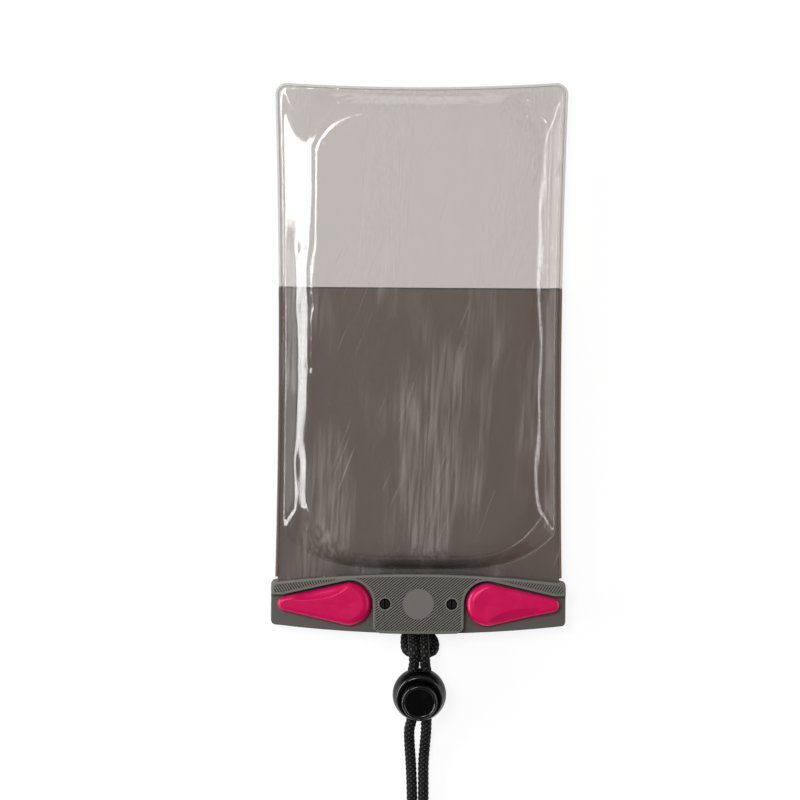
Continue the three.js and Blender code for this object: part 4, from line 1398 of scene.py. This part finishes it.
@dataclass
class Studio:
    """A pale floor, soft lamps and a camera looking straight down.

    Lengths are in millimetres, except a lamp's, in metres. The floor's share is how much of it
    glows plain white where the camera, a reflection or the way through a film meets it, and the
    light is the strength with which the world lights the pouch.
    """

    view_width: float = 288.8
    middle: tuple[float, float] = (-7.1, 73.2)
    distance: float = 1200.0
    sensor: float = 36.0
    roll: float = math.radians(0.4)
    reach: float = 3000.0
    floor_z: float = -0.05
    floor_share: float = 0.78
    floor_glow: float = 1.1
    light: float = 0.3

    def camera(self) -> None:
        """Adds the camera, which frames the pouch and the start of its cord."""
        data = bpy.data.cameras.new("camera")
        data.sensor_width = self.sensor
        data.lens = self.sensor * (self.distance - 5) / self.view_width
        data.clip_end = 20
        camera = bpy.data.objects.new("camera", data)
        camera.location = (self.middle[0] * MM, self.middle[1] * MM, self.distance * MM)
        camera.rotation_euler.z = self.roll
        bpy.context.scene.collection.objects.link(camera)
        bpy.context.scene.camera = camera

    def lamp(self, name: str, place: Point, aim: Point, size: tuple[float, float],
             watts: float) -> None:
        """Adds a soft rectangular lamp.

        Args:
            name: Its name.
            place: Where it stands, in metres.
            aim: The point that it faces.
            size: Its length along the floor and its height in metres.
            watts: Its power.
        """
        data = bpy.data.lights.new(name, "AREA")
        data.shape = "RECTANGLE"
        data.size, data.size_y = size
        data.energy = watts
        lamp = bpy.data.objects.new(name, data)
        lamp.location = place
        direction = Vector(aim) - Vector(place)
        lamp.rotation_euler = direction.to_track_quat("-Z", "Y").to_euler()
        bpy.context.scene.collection.objects.link(lamp)

    def floor(self) -> None:
        """Adds a wide pale floor that shows white to the camera and keeps a soft shadow."""
        corners = ((-1, -1), (1, -1), (1, 1), (-1, 1))
        points = [(x * self.reach, y * self.reach, self.floor_z) for x, y in corners]
        piece = add_mesh("studio_floor", points, [(0, 1, 2, 3)])
        shader = Shader("floor white")
        path = shader.node("LightPath", out="Is Camera Ray")
        glossy = shader.node("LightPath", out="Is Glossy Ray")
        through = shader.node("LightPath", out="Is Transmission Ray")
        seen = (path + glossy + through).clamp() * self.floor_share
        paper = shader.node("BsdfDiffuse", Color=(0.86, 0.86, 0.86))
        white = shader.node("Emission", Color=(1, 1, 1), Strength=self.floor_glow)
        surface = shader.node("MixShader", Fac=seen, in_1=paper, in_2=white)
        piece.data.materials.append(shader.finish(surface))

    def world(self) -> None:
        """Sets a plain pale world that shows white to the camera and through film."""
        world = bpy.data.worlds.new("studio")
        world.use_nodes = True
        tree = world.node_tree
        tree.nodes.clear()
        output = tree.nodes.new("ShaderNodeOutputWorld")
        back = tree.nodes.new("ShaderNodeBackground")
        path = tree.nodes.new("ShaderNodeLightPath")
        through = Wire(tree, path.outputs["Is Transmission Ray"])
        seen = Wire(tree, path.outputs["Is Camera Ray"]) + through
        strength = seen.clamp() * (1 - self.light) + self.light
        tree.links.new(strength.socket, back.inputs["Strength"])
        back.inputs["Color"].default_value = (1, 1, 1, 1)
        tree.links.new(back.outputs[0], output.inputs["Surface"])
        bpy.context.scene.world = world

    def build(self) -> None:
        """Adds the camera, the floor, the world and the lamps."""
        self.camera()
        self.floor()
        self.world()
        self.lamp("left strip", (-1.5, 0.2, 0.52), (0, 0.09, 0), (1.8, 0.42), 22)
        self.lamp("right strip", (1.6, 0.2, 0.6), (0, 0.09, 0), (1.6, 0.2), 5.5)
        self.lamp("overhead", (-0.5, 0.5, 1.7), (0, 0.06, 0), (0.6, 0.5), 12)
        bpy.context.scene.view_settings.view_transform = "Standard"


def main() -> None:
    """Builds the studio and every sub-assembly of the pouch."""
    logging.basicConfig(level=logging.INFO, format="%(name)s: %(message)s")
    Studio().build()
    lock_pieces = CordLock().build()
    NeckCord().build(lock_pieces)
    PouchFilms().build()
    Clip().build()
    for piece in bpy.context.scene.objects:
        if piece.type == "MESH" and not piece.hide_render:
            LOG.info("%s: %d faces", piece.name, len(piece.data.polygons))


if __name__ == "__main__":
    main()
